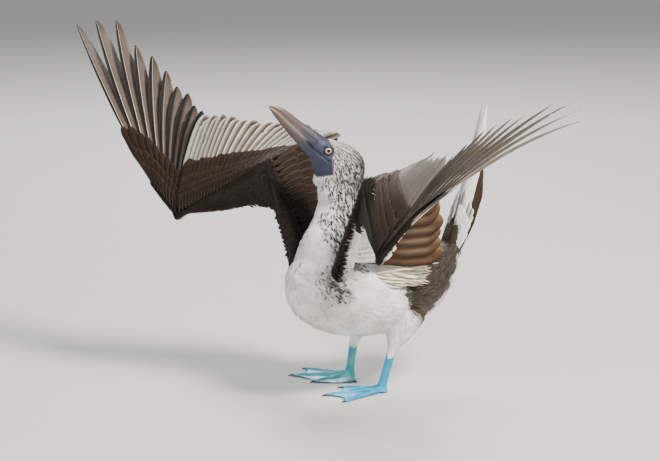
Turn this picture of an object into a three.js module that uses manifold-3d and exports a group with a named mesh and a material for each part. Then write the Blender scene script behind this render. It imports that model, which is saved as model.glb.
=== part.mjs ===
// A blue-footed booby in its sky-pointing display, life size, in millimetres.
// The bird faces -Y, its left side is +X and +Z is up. Places are first given from a working origin on
// the floor between the feet; the last lines move the bird so that its box stands centred on x = y = 0.
import * as THREE from "three";
import { mergeVertices } from "three/addons/utils/BufferGeometryUtils.js";
import Module from "manifold-3d";

const wasm = await Module();
wasm.setup();

const vec = (x, y, z) => new THREE.Vector3(x, y, z);
const UP = vec(0, 0, 1);
const mix = (a, b, t) => a.clone().lerp(b, t);
const along = (start, ...steps) =>
  steps.reduce((sum, [direction, length]) => sum.addScaledVector(direction, length), start.clone());

// Clearance between two pieces that touch
const GAP = 0.3;

// Side of the blocks that cut a piece at a plane
const SPACE = 2000;

// Torso, as rings from breast to rump: place of the centre, half width, half height up and down
const TORSO_RINGS = [
  { y: -146, z: 184, wide: 0, up: 0, down: 0 },
  { y: -139, z: 183, wide: 27, up: 26, down: 30 },
  { y: -121, z: 179, wide: 48, up: 46, down: 51 },
  { y: -90, z: 169, wide: 64, up: 62, down: 64 },
  { y: -48, z: 154, wide: 72, up: 67, down: 68 },
  { y: 2, z: 144, wide: 73, up: 66, down: 66 },
  { y: 52, z: 142, wide: 69, up: 60, down: 61 },
  { y: 96, z: 149, wide: 60, up: 51, down: 54 },
  { y: 130, z: 163, wide: 48, up: 40, down: 44 },
  { y: 157, z: 179, wide: 34, up: 28, down: 32 },
  { y: 174, z: 193, wide: 22, up: 18, down: 20 },
  { y: 183, z: 203, wide: 0, up: 0, down: 0 },
];
const TORSO_SIDES = 20;
const TORSO_STEPS = 20;

// Neck, as rings from the shoulders to inside the head: half width, half depth to the front and the nape
const NECK_RINGS = [
  { x: 0, y: -84, z: 182, wide: 58, front: 52, back: 52 },
  { x: 0, y: -78, z: 220, wide: 46, front: 46, back: 46 },
  { x: 0, y: -63, z: 262, wide: 35, front: 37, back: 37 },
  { x: 0, y: -51, z: 303, wide: 31, front: 36, back: 34 },
  { x: 0, y: -46, z: 334, wide: 29, front: 33, back: 32 },
  { x: 0, y: -45, z: 352, wide: 20, front: 22, back: 22 },
];
const NECK_SIDES = 20;
const NECK_STEPS = 11;

// Head: turned to the bird's right and pointed at the sky. Its frame starts midway between the eyes
const HEAD_TURN = THREE.MathUtils.degToRad(25);
const HEAD_TILT = THREE.MathUtils.degToRad(42);
const BETWEEN_EYES = vec(-10.8, -73.2, 371);
const HEAD_HEADING = vec(-Math.sin(HEAD_TURN), -Math.cos(HEAD_TURN), 0);
const HEAD_LEFT = vec(Math.cos(HEAD_TURN), -Math.sin(HEAD_TURN), 0);
const HEAD_FORWARD = along(vec(0, 0, Math.sin(HEAD_TILT)), [HEAD_HEADING, Math.cos(HEAD_TILT)]);
const HEAD_UP = along(vec(0, 0, Math.cos(HEAD_TILT)), [HEAD_HEADING, -Math.sin(HEAD_TILT)]);

// Head rings from the nape to the root of the bill: place along the bill's axis, crown, chin, half width
const HEAD_RINGS = [
  { at: -74, crown: -8, chin: -8, wide: 0 },
  { at: -71, crown: 4, chin: -22, wide: 12 },
  { at: -64, crown: 15, chin: -35, wide: 22 },
  { at: -50, crown: 25.5, chin: -45, wide: 28.5 },
  { at: -34, crown: 28.5, chin: -46, wide: 28 },
  { at: -18, crown: 25.5, chin: -41, wide: 25 },
  { at: -4, crown: 20, chin: -34, wide: 20.5 },
  { at: 8, crown: 15, chin: -27.5, wide: 16.5 },
  { at: 22, crown: 11, chin: -21.5, wide: 12.5 },
];
const HEAD_SIDES = 18;
const HEAD_STEPS = 14;

// Bill rings from inside the head to the tip: culmen, line of the mouth, lower edge, half width
const BILL_RINGS = [
  { at: 14, culmen: 11.5, mouth: -11, lower: -22, wide: 12 },
  { at: 28, culmen: 11, mouth: -10.2, lower: -20, wide: 11 },
  { at: 44, culmen: 9.6, mouth: -9.4, lower: -17.6, wide: 9 },
  { at: 62, culmen: 6.2, mouth: -8.6, lower: -15.2, wide: 7 },
  { at: 82, culmen: 1.2, mouth: -8, lower: -13, wide: 4.8 },
  { at: 98, culmen: -3.2, mouth: -8.2, lower: -11.2, wide: 2.8 },
  { at: 106, culmen: -6.4, mouth: -9.2, lower: -10.4, wide: 1.2 },
];
const BILL_SIDES = 12;
const BILL_STEPS = 10;
const LOWER_BILL_WIDTH = 0.9;
const MOUTH_GAP = 0.5;

// The line of the mouth on the bare face, and the closed nostril's groove along the bill
const GAPE = { from: [-11, -11.4, 20.6], to: [26, -11.4, 11], deep: 2.2, open: 1 };
const NOSTRIL = { from: [27, -1.4, 10.4], to: [84, -3.6, 4.4], deep: 0.8, open: 1.1 };
const GROOVE_BLOCK = 14;

// Eyes: ball, how far its centre lies from the middle of the head, and the lids around it
const EYE = { radius: 7.5, out: 12.6, forward: 0.2, raised: 0.03 };
const LID = { radius: 6, thick: 1.1, proud: 4.6 };

// Legs: tarsal joints and ankles of the left and right leg, and the heading of each foot
const LEGS = {
  left: { hip: vec(44, 40, 120), hock: vec(42, 11, 58), ankle: vec(38, -3, 9), turn: -24 },
  right: { hip: vec(-44, 40, 120), hock: vec(-45, 14, 60), ankle: vec(-61, 20, 9), turn: -47 },
};
const THIGH_RINGS = [
  { share: -0.25, wide: 26, deep: 32 },
  { share: 0.1, wide: 27, deep: 34 },
  { share: 0.45, wide: 22, deep: 27 },
  { share: 0.75, wide: 13.5, deep: 16 },
  { share: 0.94, wide: 8.4, deep: 9.4 },
  { share: 1, wide: 6.6, deep: 7.2 },
];
const LEG_STEPS = 8;
const LEG_SIDES = 14;
const TARSUS = { wide: 4.6, deep: 6.2 };
const TARSUS_RINGS = [
  { share: 0, grow: 1.25 },
  { share: 0.14, grow: 1 },
  { share: 0.5, grow: 1 },
  { share: 0.86, grow: 1 },
  { share: 1, grow: 1.25 },
];
const TARSUS_SUNK = 3;
const INSTEP = 3;
const INSTEP_RINGS = [
  { height: -2, wide: 9, front: 10, back: 9 },
  { height: 6, wide: 6.6, front: 8.4, back: 8 },
  { height: 11.7, wide: 5.8, front: 7.6, back: 7.6 },
];
const INSTEP_STEPS = 3;
const TOE_HEIGHT = 4.2;
const TOE_RINGS = [
  { share: 0, broad: 1.15, tall: 2 },
  { share: 0.3, broad: 1, tall: 1.25 },
  { share: 0.62, broad: 0.95, tall: 1 },
  { share: 0.9, broad: 0.9, tall: 0.85 },
  { share: 1, broad: 0.7, tall: 0.6 },
];
const TOE_STEPS = 5;
const TOE_SIDES = 6;
const WEB_THICK = 1.8;

// Toes: length, angle from the foot's heading (outwards is positive), half width at root and tip
const TOES = [
  { name: "outer", length: 84, angle: 31, root: 4.6, tip: 2.4 },
  { name: "middle", length: 86, angle: 0, root: 5, tip: 2.6 },
  { name: "inner", length: 62, angle: -36, root: 4.6, tip: 2.4 },
  { name: "hallux", length: 29, angle: -112, root: 3.8, tip: 2 },
];
const CLAW_RINGS = [
  { reach: -3, wide: 1.9, high: 2.4, low: 1, rise: 1.2 },
  { reach: 4, wide: 1.4, high: 1.5, low: 0.9, rise: 1.2 },
  { reach: 8, wide: 0.4, high: 0.4, low: 0.4, rise: 0.5 },
];
const CLAW_STEPS = 2;
const CLAW_SIDES = 5;
const WEB_SCALLOP = 0.86;
const WEB_HEEL = { back: 7, out: 2 };
const WEB_SEGMENTS = 4;

// Tail: a tented wedge of paired feathers, cocked nearly upright
const TAIL_ROOT = vec(0, 163, 188);
const TAIL_TIP = vec(0, 241.5, 410);
const TAIL_TENT = THREE.MathUtils.degToRad(27);
const TAIL_SHORTEST = 0.52;
const TAIL_GRADING = 0.9;
const TAIL_PAIRS = 6;
const TAIL_LAYER = 1.1;
const TAIL_CENTRE_WIDTH = 17;
const TAIL_FEATHER_WIDTH = 24;
const TAIL_ROOTED = 30;
const TAIL_FAN = { root: [3, 11], tip: [5, 31] };
const RIDGE_GAP = 0.8;
const TAIL_BASE = [
  { along: -14, wide: 17, high: 12, low: 14 },
  { along: 12, wide: 17, high: 10, low: 15 },
  { along: 34, wide: 15, high: 7, low: 13 },
  { along: 52, wide: 8, high: 3, low: 8 },
];
const TAIL_BASE_STEPS = 5;
const TAIL_BASE_SIDES = 10;
const TAIL_COVERTS = { pairs: 3, reach: [0.36, 0.26], width: 18, lift: 3.2, root: [4, 12], tip: [6, 24] };

// Wing joints of the left wing, raised, with the hand turned out; the right wing is its mirror image
const SHOULDER = vec(50, -92, 205);
const ELBOW = vec(110, -97, 340);
const WRIST = vec(226, -179, 255);
const HAND_SHARE = 0.18;
const PRIMARY_TIPS = [
  vec(276, -89, 397),
  vec(334, -75, 433),
  vec(396, -77, 463),
  vec(486, -84, 501),
  vec(551, -123, 496),
];
const SECONDARY_TIPS = [vec(100, 33, 377), vec(160, -22, 387), vec(227, -72, 393), vec(272, -91, 396)];
const TERTIAL_TIPS = [vec(98, 59, 217), vec(103, 54, 262), vec(104, 44, 315), vec(100, 33, 377)];
const UPPER_ARM = [
  { share: -0.12, chord: 21, thick: 13 },
  { share: 0.3, chord: 19, thick: 11 },
  { share: 0.75, chord: 14, thick: 9 },
  { share: 1.04, chord: 9, thick: 7 },
];
const FOREARM = [
  { share: -0.02, chord: 10, thick: 7.5 },
  { share: 0.4, chord: 11, thick: 7.5 },
  { share: 1.06, chord: 8, thick: 5.5 },
];
const HAND = [
  { share: -0.1, chord: 8, thick: 5.5 },
  { share: 0.5, chord: 7, thick: 4.5 },
  { share: 1.1, chord: 4, thick: 2.6 },
];
const ARM_STEPS = 3;
const ARM_SIDES = 8;
const UPPER_ARM_FACE = vec(-0.95, 0, 0.31);
const FOREARM_FACE = vec(-0.17, -0.81, 0.56);
const HAND_FACE = vec(-0.1, -0.87, 0.5);

// The fold of skin ahead of the elbow: its leading edge and the line it leaves the arm along
const FOLD_EDGE = vec(101, -102, 274);
const FOLD_FRONT = [
  mix(SHOULDER, ELBOW, 0.05),
  FOLD_EDGE,
  mix(FOLD_EDGE, WRIST, 0.55),
  mix(FOLD_EDGE, WRIST, 0.97),
];
const FOLD_BACK = [
  mix(SHOULDER, ELBOW, 0.1),
  mix(SHOULDER, ELBOW, 0.95),
  mix(ELBOW, WRIST, 0.4),
  mix(ELBOW, WRIST, 0.97),
];
const FOLD_COLUMNS = 7;
const FOLD_ROWS = 3;
const FOLD_BULGE = 14;
const FOLD_THICK = 4.5;

// Where the middle part of the wing is cut, as shares of the way from elbow to wrist and along the hand
const ELBOW_CUT = 0.06;
const WRIST_CUT = -0.02;

// Feather vanes: where their stations lie, the breadth there, the leading vane's share, the thickness
const PRIMARY_VANE = {
  stations: [0, 0.14, 0.4, 0.7, 0.9, 1],
  breadth: [0.08, 0.3, 0.86, 1, 0.68, 0.12],
  leadShare: 0.36,
  thick: 0.8,
};
const SECONDARY_VANE = {
  stations: [0, 0.18, 0.5, 0.84, 1],
  breadth: [0.12, 0.55, 1, 0.96, 0.34],
  leadShare: 0.42,
  thick: 0.7,
};
const COVERT_VANE = {
  stations: [0, 0.4, 0.8, 1],
  breadth: [0.15, 0.8, 0.94, 0.34],
  leadShare: 0.45,
  thick: 0.7,
};
const TAIL_VANE = {
  stations: [0, 0.2, 0.5, 0.82, 0.95, 1],
  breadth: [0.12, 0.5, 1, 0.86, 0.45, 0.1],
  leadShare: 0.5,
  thick: 0.7,
};

// Tiers of the wing: how many feathers, how far they reach to the wing's edge, how high they lie
const TIERS = {
  tertials: {
    count: 8,
    reach: 1,
    width: 36,
    lifts: [0, 0],
    shape: SECONDARY_VANE,
    start: 0,
    end: 0.94,
  },
  tertialCoverts: {
    count: 6,
    reach: 0.5,
    width: 32,
    lifts: [4, 4],
    shape: COVERT_VANE,
    start: 0,
    end: 0.92,
  },
  axillaries: {
    count: 5,
    reach: 0.62,
    width: 32,
    lifts: [-5, -4],
    shape: COVERT_VANE,
    start: 0,
    end: 0.8,
  },
  secondaries: {
    count: 12,
    reach: 1,
    width: 36,
    lifts: [0, 0],
    shape: SECONDARY_VANE,
    start: 0.04,
    end: 0.96,
  },
  secondaryCoverts: {
    count: 9,
    reach: 0.5,
    width: 30,
    lifts: [3.6, 3.6],
    shape: COVERT_VANE,
    start: 0.05,
    end: 0.95,
  },
  medianCoverts: {
    count: 7,
    reach: 0.3,
    width: 28,
    lifts: [6, 7],
    shape: COVERT_VANE,
    start: 0.06,
    end: 0.94,
  },
  primaries: {
    count: 10,
    reach: 1,
    width: 34,
    lifts: [0, 0],
    shape: PRIMARY_VANE,
    start: 0.015,
    end: 1,
  },
  primaryCoverts: {
    count: 8,
    reach: 0.33,
    width: 24,
    lifts: [3.4, 3.4],
    shape: COVERT_VANE,
    start: 0.06,
    end: 0.98,
  },
  medianPrimaryCoverts: {
    count: 5,
    reach: 0.18,
    width: 20,
    lifts: [5.4, 6.8],
    shape: COVERT_VANE,
    start: 0.08,
    end: 0.96,
  },
};

// Neighbours in a tier lie this far apart, like slats, each turned by what its spacing needs
const LAYER = 1.5;
const SPACING_LEAST = 50;

// No vane reaches into the next group's share of the wing
const BORDER = 0.008;
const SMOOTHING = 0.3;
const LENGTH_VARIATION = 0.05;
const TIER_PHASE = 2.4;

// The near wing's outer feathers hang a little lower than the far wing's and its inner ones stand higher
const SPREAD = [0, 12, 7, -5, -12];

// The hand ends a little ahead of the line to the outermost tip, lower in the far wing, and its feathers
// curve forward more there
const HAND_AHEAD = vec(4, -12, 6);
const HAND_DROP = 11;
const HAND_SWEEP = { far: 0.06, near: -0.085 };

// The outer feathers turn on their shafts towards their tips, leading vane up
const HAND_ROLL = THREE.MathUtils.degToRad(45);
const ROLL_FROM = 0.3;
const ROLL_TO = 0.85;

const COLOURS = {
  torso: [0xe9e4dc, 0.9],
  neck: [0xb9aa9c, 0.9],
  head: [0xcabfb2, 0.85],
  bill_upper: [0x8f9aa2, 0.45],
  bill_lower: [0x98a0a5, 0.45],
  eye: [0xe8e0a0, 0.1],
  tail: [0xb8b2aa, 0.85],
  wing: [0x4a3a30, 0.85],
  thigh: [0xd8d2ca, 0.9],
  leg: [0x3fa8c8, 0.5],
  foot: [0x5fc4d8, 0.5],
};

// Closed solids

function solid(geometry) {
  const bare = geometry.clone();
  bare.deleteAttribute("normal");
  bare.deleteAttribute("uv");
  const merged = mergeVertices(bare, 1e-4);
  const mesh = new wasm.Mesh({
    numProp: 3,
    vertProperties: Float32Array.from(merged.attributes.position.array),
    triVerts: Uint32Array.from(merged.index.array),
  });
  return new wasm.Manifold(mesh);
}

// Signed volume of a closed surface, negative where its faces point inwards
function signedVolume(points, triangles) {
  let sum = 0;
  for (let n = 0; n < triangles.length; n += 3) {
    const [a, b, c] = triangles.slice(n, n + 3).map((index) => points[index]);
    sum += a.dot(b.clone().cross(c)) / 6;
  }
  return sum;
}

const mirrored = (point, side) => vec(point.x * side, point.y, point.z);

// A closed solid from left-hand points, mirrored where side is -1
function meshSolid(points, triangles, side = 1) {
  const placed = points.map((point) => mirrored(point, side));
  const geometry = new THREE.BufferGeometry().setFromPoints(placed);
  geometry.setIndex(signedVolume(placed, triangles) < 0 ? triangles.slice().reverse() : triangles);
  return solid(geometry);
}

// One closed skin through a row of rings: each is {at, side, up, wide, high, low}, with side = up x axis
function ringSolid(rings, sides, side = 1) {
  const points = [];
  const triangles = [];
  const starts = rings.map((ring) => {
    const start = points.length;
    if (ring.wide < 1e-6) {
      points.push(ring.at);
      return { start, size: 1 };
    }
    for (let i = 0; i < sides; i++) {
      const angle = (2 * Math.PI * i) / sides;
      const lift = Math.sin(angle);
      const height = lift > 0 ? ring.high : ring.low;
      points.push(along(ring.at, [ring.side, ring.wide * Math.cos(angle)], [ring.up, height * lift]));
    }
    return { start, size: sides };
  });
  for (let j = 0; j + 1 < rings.length; j++) {
    const near = starts[j];
    const far = starts[j + 1];
    for (let i = 0; i < sides; i++) {
      const k = (i + 1) % sides;
      if (near.size === 1) triangles.push(near.start, far.start + k, far.start + i);
      else if (far.size === 1) triangles.push(near.start + i, near.start + k, far.start);
      else {
        triangles.push(near.start + i, near.start + k, far.start + k);
        triangles.push(near.start + i, far.start + k, far.start + i);
      }
    }
  }
  const cap = (ring, centre, turn) => {
    if (ring.size === 1) return;
    const middle = points.length;
    points.push(centre);
    for (let i = 0; i < sides; i++) {
      const k = (i + 1) % sides;
      if (turn) triangles.push(middle, ring.start + i, ring.start + k);
      else triangles.push(middle, ring.start + k, ring.start + i);
    }
  };
  cap(starts[0], rings[0].at, false);
  cap(starts[starts.length - 1], rings[rings.length - 1].at, true);
  return meshSolid(points, triangles, side);
}

// A smooth body through key rings: each key is {at, wide, high, low}; grow makes it larger all round
function smoothBody(keys, upHint, steps, sides, grow = 0, hand = 1) {
  const path = new THREE.CatmullRomCurve3(keys.map((key) => key.at), false, "catmullrom", 0.5);
  const sizes = new THREE.CatmullRomCurve3(
    keys.map((key) => vec(key.wide, key.high, key.low)),
    false,
    "catmullrom",
    0.5,
  );
  const rings = [];
  for (let j = 0; j <= steps; j++) {
    const t = j / steps;
    const axis = path.getTangent(t).normalize();
    const side = upHint.clone().cross(axis).normalize();
    const up = axis.clone().cross(side);
    const size = sizes.getPoint(t);
    const end = j === 0 ? -1 : j === steps ? 1 : 0;
    const open = end === 0 || size.x > 1e-3;
    const before = Math.max(0, t - 0.5 / steps);
    const after = Math.min(1, t + 0.5 / steps);
    const run = path.getPoint(before).distanceTo(path.getPoint(after));
    const slope = Math.atan2(sizes.getPoint(after).x - sizes.getPoint(before).x, run);
    const shift = end === 0 ? -Math.sin(slope) : end;
    rings.push({
      at: along(path.getPoint(t), [axis, shift * grow]),
      side,
      up,
      wide: open ? Math.max(size.x, 0.2) + grow : 0,
      high: size.y + grow,
      low: size.z + grow,
    });
  }
  return ringSolid(rings, sides, hand);
}

// A closed sheet over a grid of points, split alike on both faces
function sheetSolid(rows, normals, thick, side = 1) {
  const high = rows.length;
  const wide = rows[0].length;
  const points = [];
  for (const face of [0.5, -0.5])
    for (let j = 0; j < high; j++)
      for (let i = 0; i < wide; i++) points.push(along(rows[j][i], [normals[j][i], face * thick]));
  const top = (j, i) => j * wide + i;
  const under = (j, i) => high * wide + j * wide + i;
  const triangles = [];
  for (let j = 0; j + 1 < high; j++)
    for (let i = 0; i + 1 < wide; i++) {
      triangles.push(top(j, i), top(j, i + 1), top(j + 1, i + 1));
      triangles.push(top(j, i), top(j + 1, i + 1), top(j + 1, i));
      triangles.push(under(j, i), under(j + 1, i + 1), under(j, i + 1));
      triangles.push(under(j, i), under(j + 1, i), under(j + 1, i + 1));
    }
  const rim = [];
  for (let i = 0; i < wide; i++) rim.push([0, i]);
  for (let j = 1; j < high; j++) rim.push([j, wide - 1]);
  for (let i = wide - 2; i >= 0; i--) rim.push([high - 1, i]);
  for (let j = high - 2; j > 0; j--) rim.push([j, 0]);
  rim.forEach(([j, i], n) => {
    const [q, p] = rim[(n + 1) % rim.length];
    triangles.push(top(j, i), under(j, i), under(q, p));
    triangles.push(top(j, i), under(q, p), top(q, p));
  });
  return meshSolid(points, triangles, side);
}

const joined = (solids) => solids.reduce((sum, piece) => sum.add(piece));
const largest = (made) =>
  made.decompose().reduce((best, body) => (body.volume() > best.volume() ? body : best));

// Torso, neck and head

const torsoSolid = (grow = 0) =>
  smoothBody(
    TORSO_RINGS.map(({ y, z, wide, up, down }) => ({ at: vec(0, y, z), wide, high: up, low: down })),
    vec(0, 0, 1),
    TORSO_STEPS,
    TORSO_SIDES,
    grow,
  );

const headPoint = (forward, up, left = 0) =>
  along(BETWEEN_EYES, [HEAD_FORWARD, forward], [HEAD_UP, up], [HEAD_LEFT, left]);

const headSolid = (grow = 0) =>
  smoothBody(
    HEAD_RINGS.map(({ at, crown, chin, wide }) => ({
      at: headPoint(at, (crown + chin) / 2),
      wide,
      high: (crown - chin) / 2,
      low: (crown - chin) / 2,
    })),
    HEAD_UP,
    HEAD_STEPS,
    HEAD_SIDES,
    grow,
  );

const wholeNeck = (grow = 0) =>
  smoothBody(
    NECK_RINGS.map(({ x, y, z, wide, front, back }) => ({ at: vec(x, y, z), wide, high: front, low: back })),
    vec(0, -1, 0),
    NECK_STEPS,
    NECK_SIDES,
    grow,
  );

const neckSolid = () => wholeNeck().subtract(torsoSolid(GAP)).subtract(headSolid(GAP));

function boxAt(centre, forward, up, size) {
  const left = up.clone().cross(forward);
  const place = new THREE.Matrix4().makeBasis(forward, left, up).setPosition(centre);
  return solid(new THREE.BoxGeometry(size.x, size.y, size.z).applyMatrix4(place));
}

// A large box that fills the space on the far side of a plane
function beyond(point, normal) {
  const turn = new THREE.Quaternion().setFromUnitVectors(vec(0, 0, 1), normal);
  const block = new THREE.BoxGeometry(SPACE, SPACE, SPACE).translate(0, 0, SPACE / 2).applyQuaternion(turn);
  return solid(block.translate(point.x, point.y, point.z));
}

const eyeAxis = (side) =>
  along(
    HEAD_LEFT.clone().multiplyScalar(side),
    [HEAD_FORWARD, EYE.forward],
    [HEAD_UP, EYE.raised],
  ).normalize();

function ball(side, radius) {
  const place = new THREE.Matrix4().setPosition(headPoint(0, 0, side * EYE.out));
  const turn = new THREE.Quaternion().setFromUnitVectors(vec(0, 1, 0), eyeAxis(side));
  const sphere = new THREE.SphereGeometry(radius, 14, 8).applyQuaternion(turn);
  return solid(sphere.applyMatrix4(place));
}

function lid(side) {
  const axis = eyeAxis(side);
  const turn = new THREE.Quaternion().setFromUnitVectors(vec(0, 0, 1), axis);
  const place = new THREE.Matrix4().setPosition(along(headPoint(0, 0, side * EYE.out), [axis, LID.proud]));
  const ring = new THREE.TorusGeometry(LID.radius, LID.thick, 5, 14).applyQuaternion(turn);
  return solid(ring.applyMatrix4(place));
}

// A straight groove along one side of the head or bill, given at its two ends by forward, up and out
function groove({ from, to, deep, open }, side) {
  const [start, end] = [from, to].map(([forward, up, out]) => headPoint(forward, up, side * out));
  const run = end.clone().sub(start).normalize();
  const left = HEAD_UP.clone().cross(run).normalize();
  const centre = along(mix(start, end, 0.5), [left, side * (GROOVE_BLOCK / 2 - deep)]);
  return boxAt(centre, run, run.clone().cross(left), vec(start.distanceTo(end), GROOVE_BLOCK, open));
}

function faceSolid() {
  let face = headSolid();
  for (const side of [1, -1])
    face = face.add(lid(side)).subtract(ball(side, EYE.radius + GAP)).subtract(groove(GAPE, side));
  return face;
}

// Bill

function billSolid(upper) {
  const keys = BILL_RINGS.map(({ at, culmen, mouth, lower, wide }) => ({
    at: headPoint(at, mouth + (upper ? MOUTH_GAP / 2 : -MOUTH_GAP / 2)),
    wide: upper ? wide : wide * LOWER_BILL_WIDTH,
    high: upper ? culmen - mouth - MOUTH_GAP / 2 : 0,
    low: upper ? 0 : mouth - lower - MOUTH_GAP / 2,
  }));
  const horn = smoothBody(keys, HEAD_UP, BILL_STEPS, BILL_SIDES).subtract(headSolid(GAP));
  return upper ? horn.subtract(groove(NOSTRIL, 1)).subtract(groove(NOSTRIL, -1)) : horn;
}

// Legs and feet

function wholeThigh(leg, grow = 0) {
  const keys = THIGH_RINGS.map(({ share, wide, deep }) => ({
    at: mix(leg.hip, leg.hock, share),
    wide,
    high: deep,
    low: deep,
  }));
  return smoothBody(keys, vec(0, -1, 0), LEG_STEPS, LEG_SIDES, grow);
}

const thighSolid = (leg) => wholeThigh(leg).subtract(torsoSolid(GAP));

function tarsusSolid(leg) {
  const joint = along(leg.ankle, [vec(0, 0, 1), INSTEP]);
  const down = joint.clone().sub(leg.hock).normalize();
  const top = along(leg.hock, [down, -TARSUS_SUNK]);
  const foot = along(joint, [down, TARSUS_SUNK]);
  const keys = TARSUS_RINGS.map(({ share, grow }) => ({
    at: mix(top, foot, share),
    wide: TARSUS.wide * grow,
    high: TARSUS.deep * grow,
    low: TARSUS.deep * grow,
  }));
  return smoothBody(keys, vec(0, -1, 0), LEG_STEPS, LEG_SIDES)
    .subtract(wholeThigh(leg, GAP))
    .subtract(beyond(joint, vec(0, 0, -1)));
}

function footSolid(leg, side) {
  const turn = THREE.MathUtils.degToRad(leg.turn);
  const heading = vec(Math.sin(turn), -Math.cos(turn), 0);
  const outward = vec(Math.cos(turn), Math.sin(turn), 0).multiplyScalar(side);
  const centre = vec(leg.ankle.x, leg.ankle.y, 0);
  const tips = TOES.map(({ length, angle }) => {
    const spread = THREE.MathUtils.degToRad(angle);
    return along(centre, [heading, length * Math.cos(spread)], [outward, length * Math.sin(spread)]);
  });
  const pieces = TOES.map((toe, n) => {
    const direction = tips[n].clone().sub(centre).normalize();
    const keys = TOE_RINGS.map(({ share, broad, tall }) => ({
      at: mix(centre, tips[n], share),
      wide: THREE.MathUtils.lerp(toe.root, toe.tip, share) * broad,
      high: TOE_HEIGHT * tall,
      low: TOE_HEIGHT * tall,
    }));
    const claw = CLAW_RINGS.map(({ reach, wide, high, low, rise }) => ({
      at: along(tips[n], [direction, reach], [UP, rise]),
      wide,
      high,
      low,
    }));
    return smoothBody(keys, UP, TOE_STEPS, TOE_SIDES).add(smoothBody(claw, UP, CLAW_STEPS, CLAW_SIDES));
  });
  const web = new THREE.Shape();
  web.moveTo(tips[0].x, tips[0].y);
  for (let n = 0; n + 1 < tips.length; n++) {
    const middle = mix(tips[n], tips[n + 1], 0.5).sub(centre).multiplyScalar(WEB_SCALLOP).add(centre);
    const pull = middle.multiplyScalar(2).sub(mix(tips[n], tips[n + 1], 0.5));
    web.quadraticCurveTo(pull.x, pull.y, tips[n + 1].x, tips[n + 1].y);
  }
  const heel = along(centre, [heading, -WEB_HEEL.back], [outward, WEB_HEEL.out]);
  web.lineTo(heel.x, heel.y);
  const extent = { depth: WEB_THICK, bevelEnabled: false, curveSegments: WEB_SEGMENTS };
  const sheet = new THREE.ExtrudeGeometry(web, extent);
  const instep = smoothBody(
    INSTEP_RINGS.map(({ height, wide, front, back }) => ({
      at: along(centre, [UP, height]),
      wide,
      high: front,
      low: back,
    })),
    vec(0, -1, 0),
    INSTEP_STEPS,
    LEG_SIDES,
  );
  const floor = beyond(vec(0, 0, 0), vec(0, 0, -1));
  return joined([...pieces, instep, solid(sheet)]).subtract(floor);
}

// Feathers

// One vane: a thin closed ribbon between a leading and a trailing edge, thinner at its tip
function ribbon(edges, thick, side) {
  const points = [];
  edges.forEach(({ front, back, face }, n) => {
    const half = (n === edges.length - 1 ? 0.7 : 1) * thick * 0.5;
    points.push(along(front, [face, half]), along(back, [face, half]));
    points.push(along(back, [face, -half]), along(front, [face, -half]));
  });
  const triangles = [];
  for (let n = 0; n + 1 < edges.length; n++) {
    const [a, b, c, d] = [0, 1, 2, 3].map((corner) => 4 * n + corner);
    triangles.push(a, b, b + 4, a, b + 4, a + 4);
    triangles.push(c, d, c + 4, d, d + 4, c + 4);
    triangles.push(b, c, c + 4, b, c + 4, b + 4);
    triangles.push(d, a, a + 4, d, a + 4, d + 4);
  }
  const end = 4 * (edges.length - 1);
  triangles.push(0, 2, 1, 0, 3, 2, end, end + 1, end + 2, end, end + 2, end + 3);
  return meshSolid(points, triangles, side);
}

// Tail: tented pairs, the middle pair on top and longest, with a few coverts above and below. Each half
// lies in its own plane, and no vane reaches past the ridge between the halves

const TAIL_RISE = TAIL_TIP.clone().sub(TAIL_ROOT).normalize();
const TAIL_FACE = vec(0, -TAIL_RISE.z, TAIL_RISE.y);
const TAIL_LEAD = along(vec(Math.cos(TAIL_TENT), 0, 0), [TAIL_FACE, -Math.sin(TAIL_TENT)]);
const TAIL_NORMAL = along(vec(Math.sin(TAIL_TENT), 0, 0), [TAIL_FACE, Math.cos(TAIL_TENT)]);

function tailVane({ length, root, tip, width, sink, shape }, side) {
  const ridge = sink * Math.tan(TAIL_TENT) + RIDGE_GAP;
  const edges = shape.stations.map((share, n) => {
    const out = THREE.MathUtils.lerp(root, tip, share);
    const broad = width * shape.breadth[n] * 0.5;
    const run = THREE.MathUtils.lerp(TAIL_ROOTED, length, share);
    const at = along(TAIL_ROOT, [TAIL_RISE, run], [TAIL_NORMAL, -sink]);
    return {
      front: along(at, [TAIL_LEAD, Math.max(out + broad, ridge + 1)]),
      back: along(at, [TAIL_LEAD, Math.max(ridge, out - broad)]),
      face: TAIL_NORMAL,
    };
  });
  return ribbon(edges, shape.thick, side);
}

function tailHalf(side) {
  const length = TAIL_TIP.distanceTo(TAIL_ROOT);
  const between = (ends, share) => THREE.MathUtils.lerp(ends[0], ends[1], share);
  const pieces = [];
  for (let pair = 0; pair < TAIL_PAIRS; pair++) {
    const out = pair / (TAIL_PAIRS - 1);
    const feather = {
      length: length * between([1, TAIL_SHORTEST], out ** TAIL_GRADING),
      root: between(TAIL_FAN.root, out),
      tip: between(TAIL_FAN.tip, out),
      width: pair === 0 ? TAIL_CENTRE_WIDTH : TAIL_FEATHER_WIDTH,
      sink: TAIL_LAYER * pair,
      shape: TAIL_VANE,
    };
    pieces.push(tailVane(feather, side));
  }
  for (const lift of [TAIL_COVERTS.lift, -TAIL_LAYER * TAIL_PAIRS - TAIL_COVERTS.lift])
    for (let pair = 0; pair < TAIL_COVERTS.pairs; pair++) {
      const out = pair / (TAIL_COVERTS.pairs - 1);
      const feather = {
        length: length * between(TAIL_COVERTS.reach, out),
        root: between(TAIL_COVERTS.root, out),
        tip: between(TAIL_COVERTS.tip, out),
        width: TAIL_COVERTS.width,
        sink: TAIL_LAYER * pair - lift,
        shape: COVERT_VANE,
      };
      pieces.push(tailVane(feather, side));
    }
  return pieces;
}

const tailSolid = () => joined([tailBase(), ...tailHalf(1), ...tailHalf(-1)]).subtract(torsoSolid(GAP));

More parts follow.
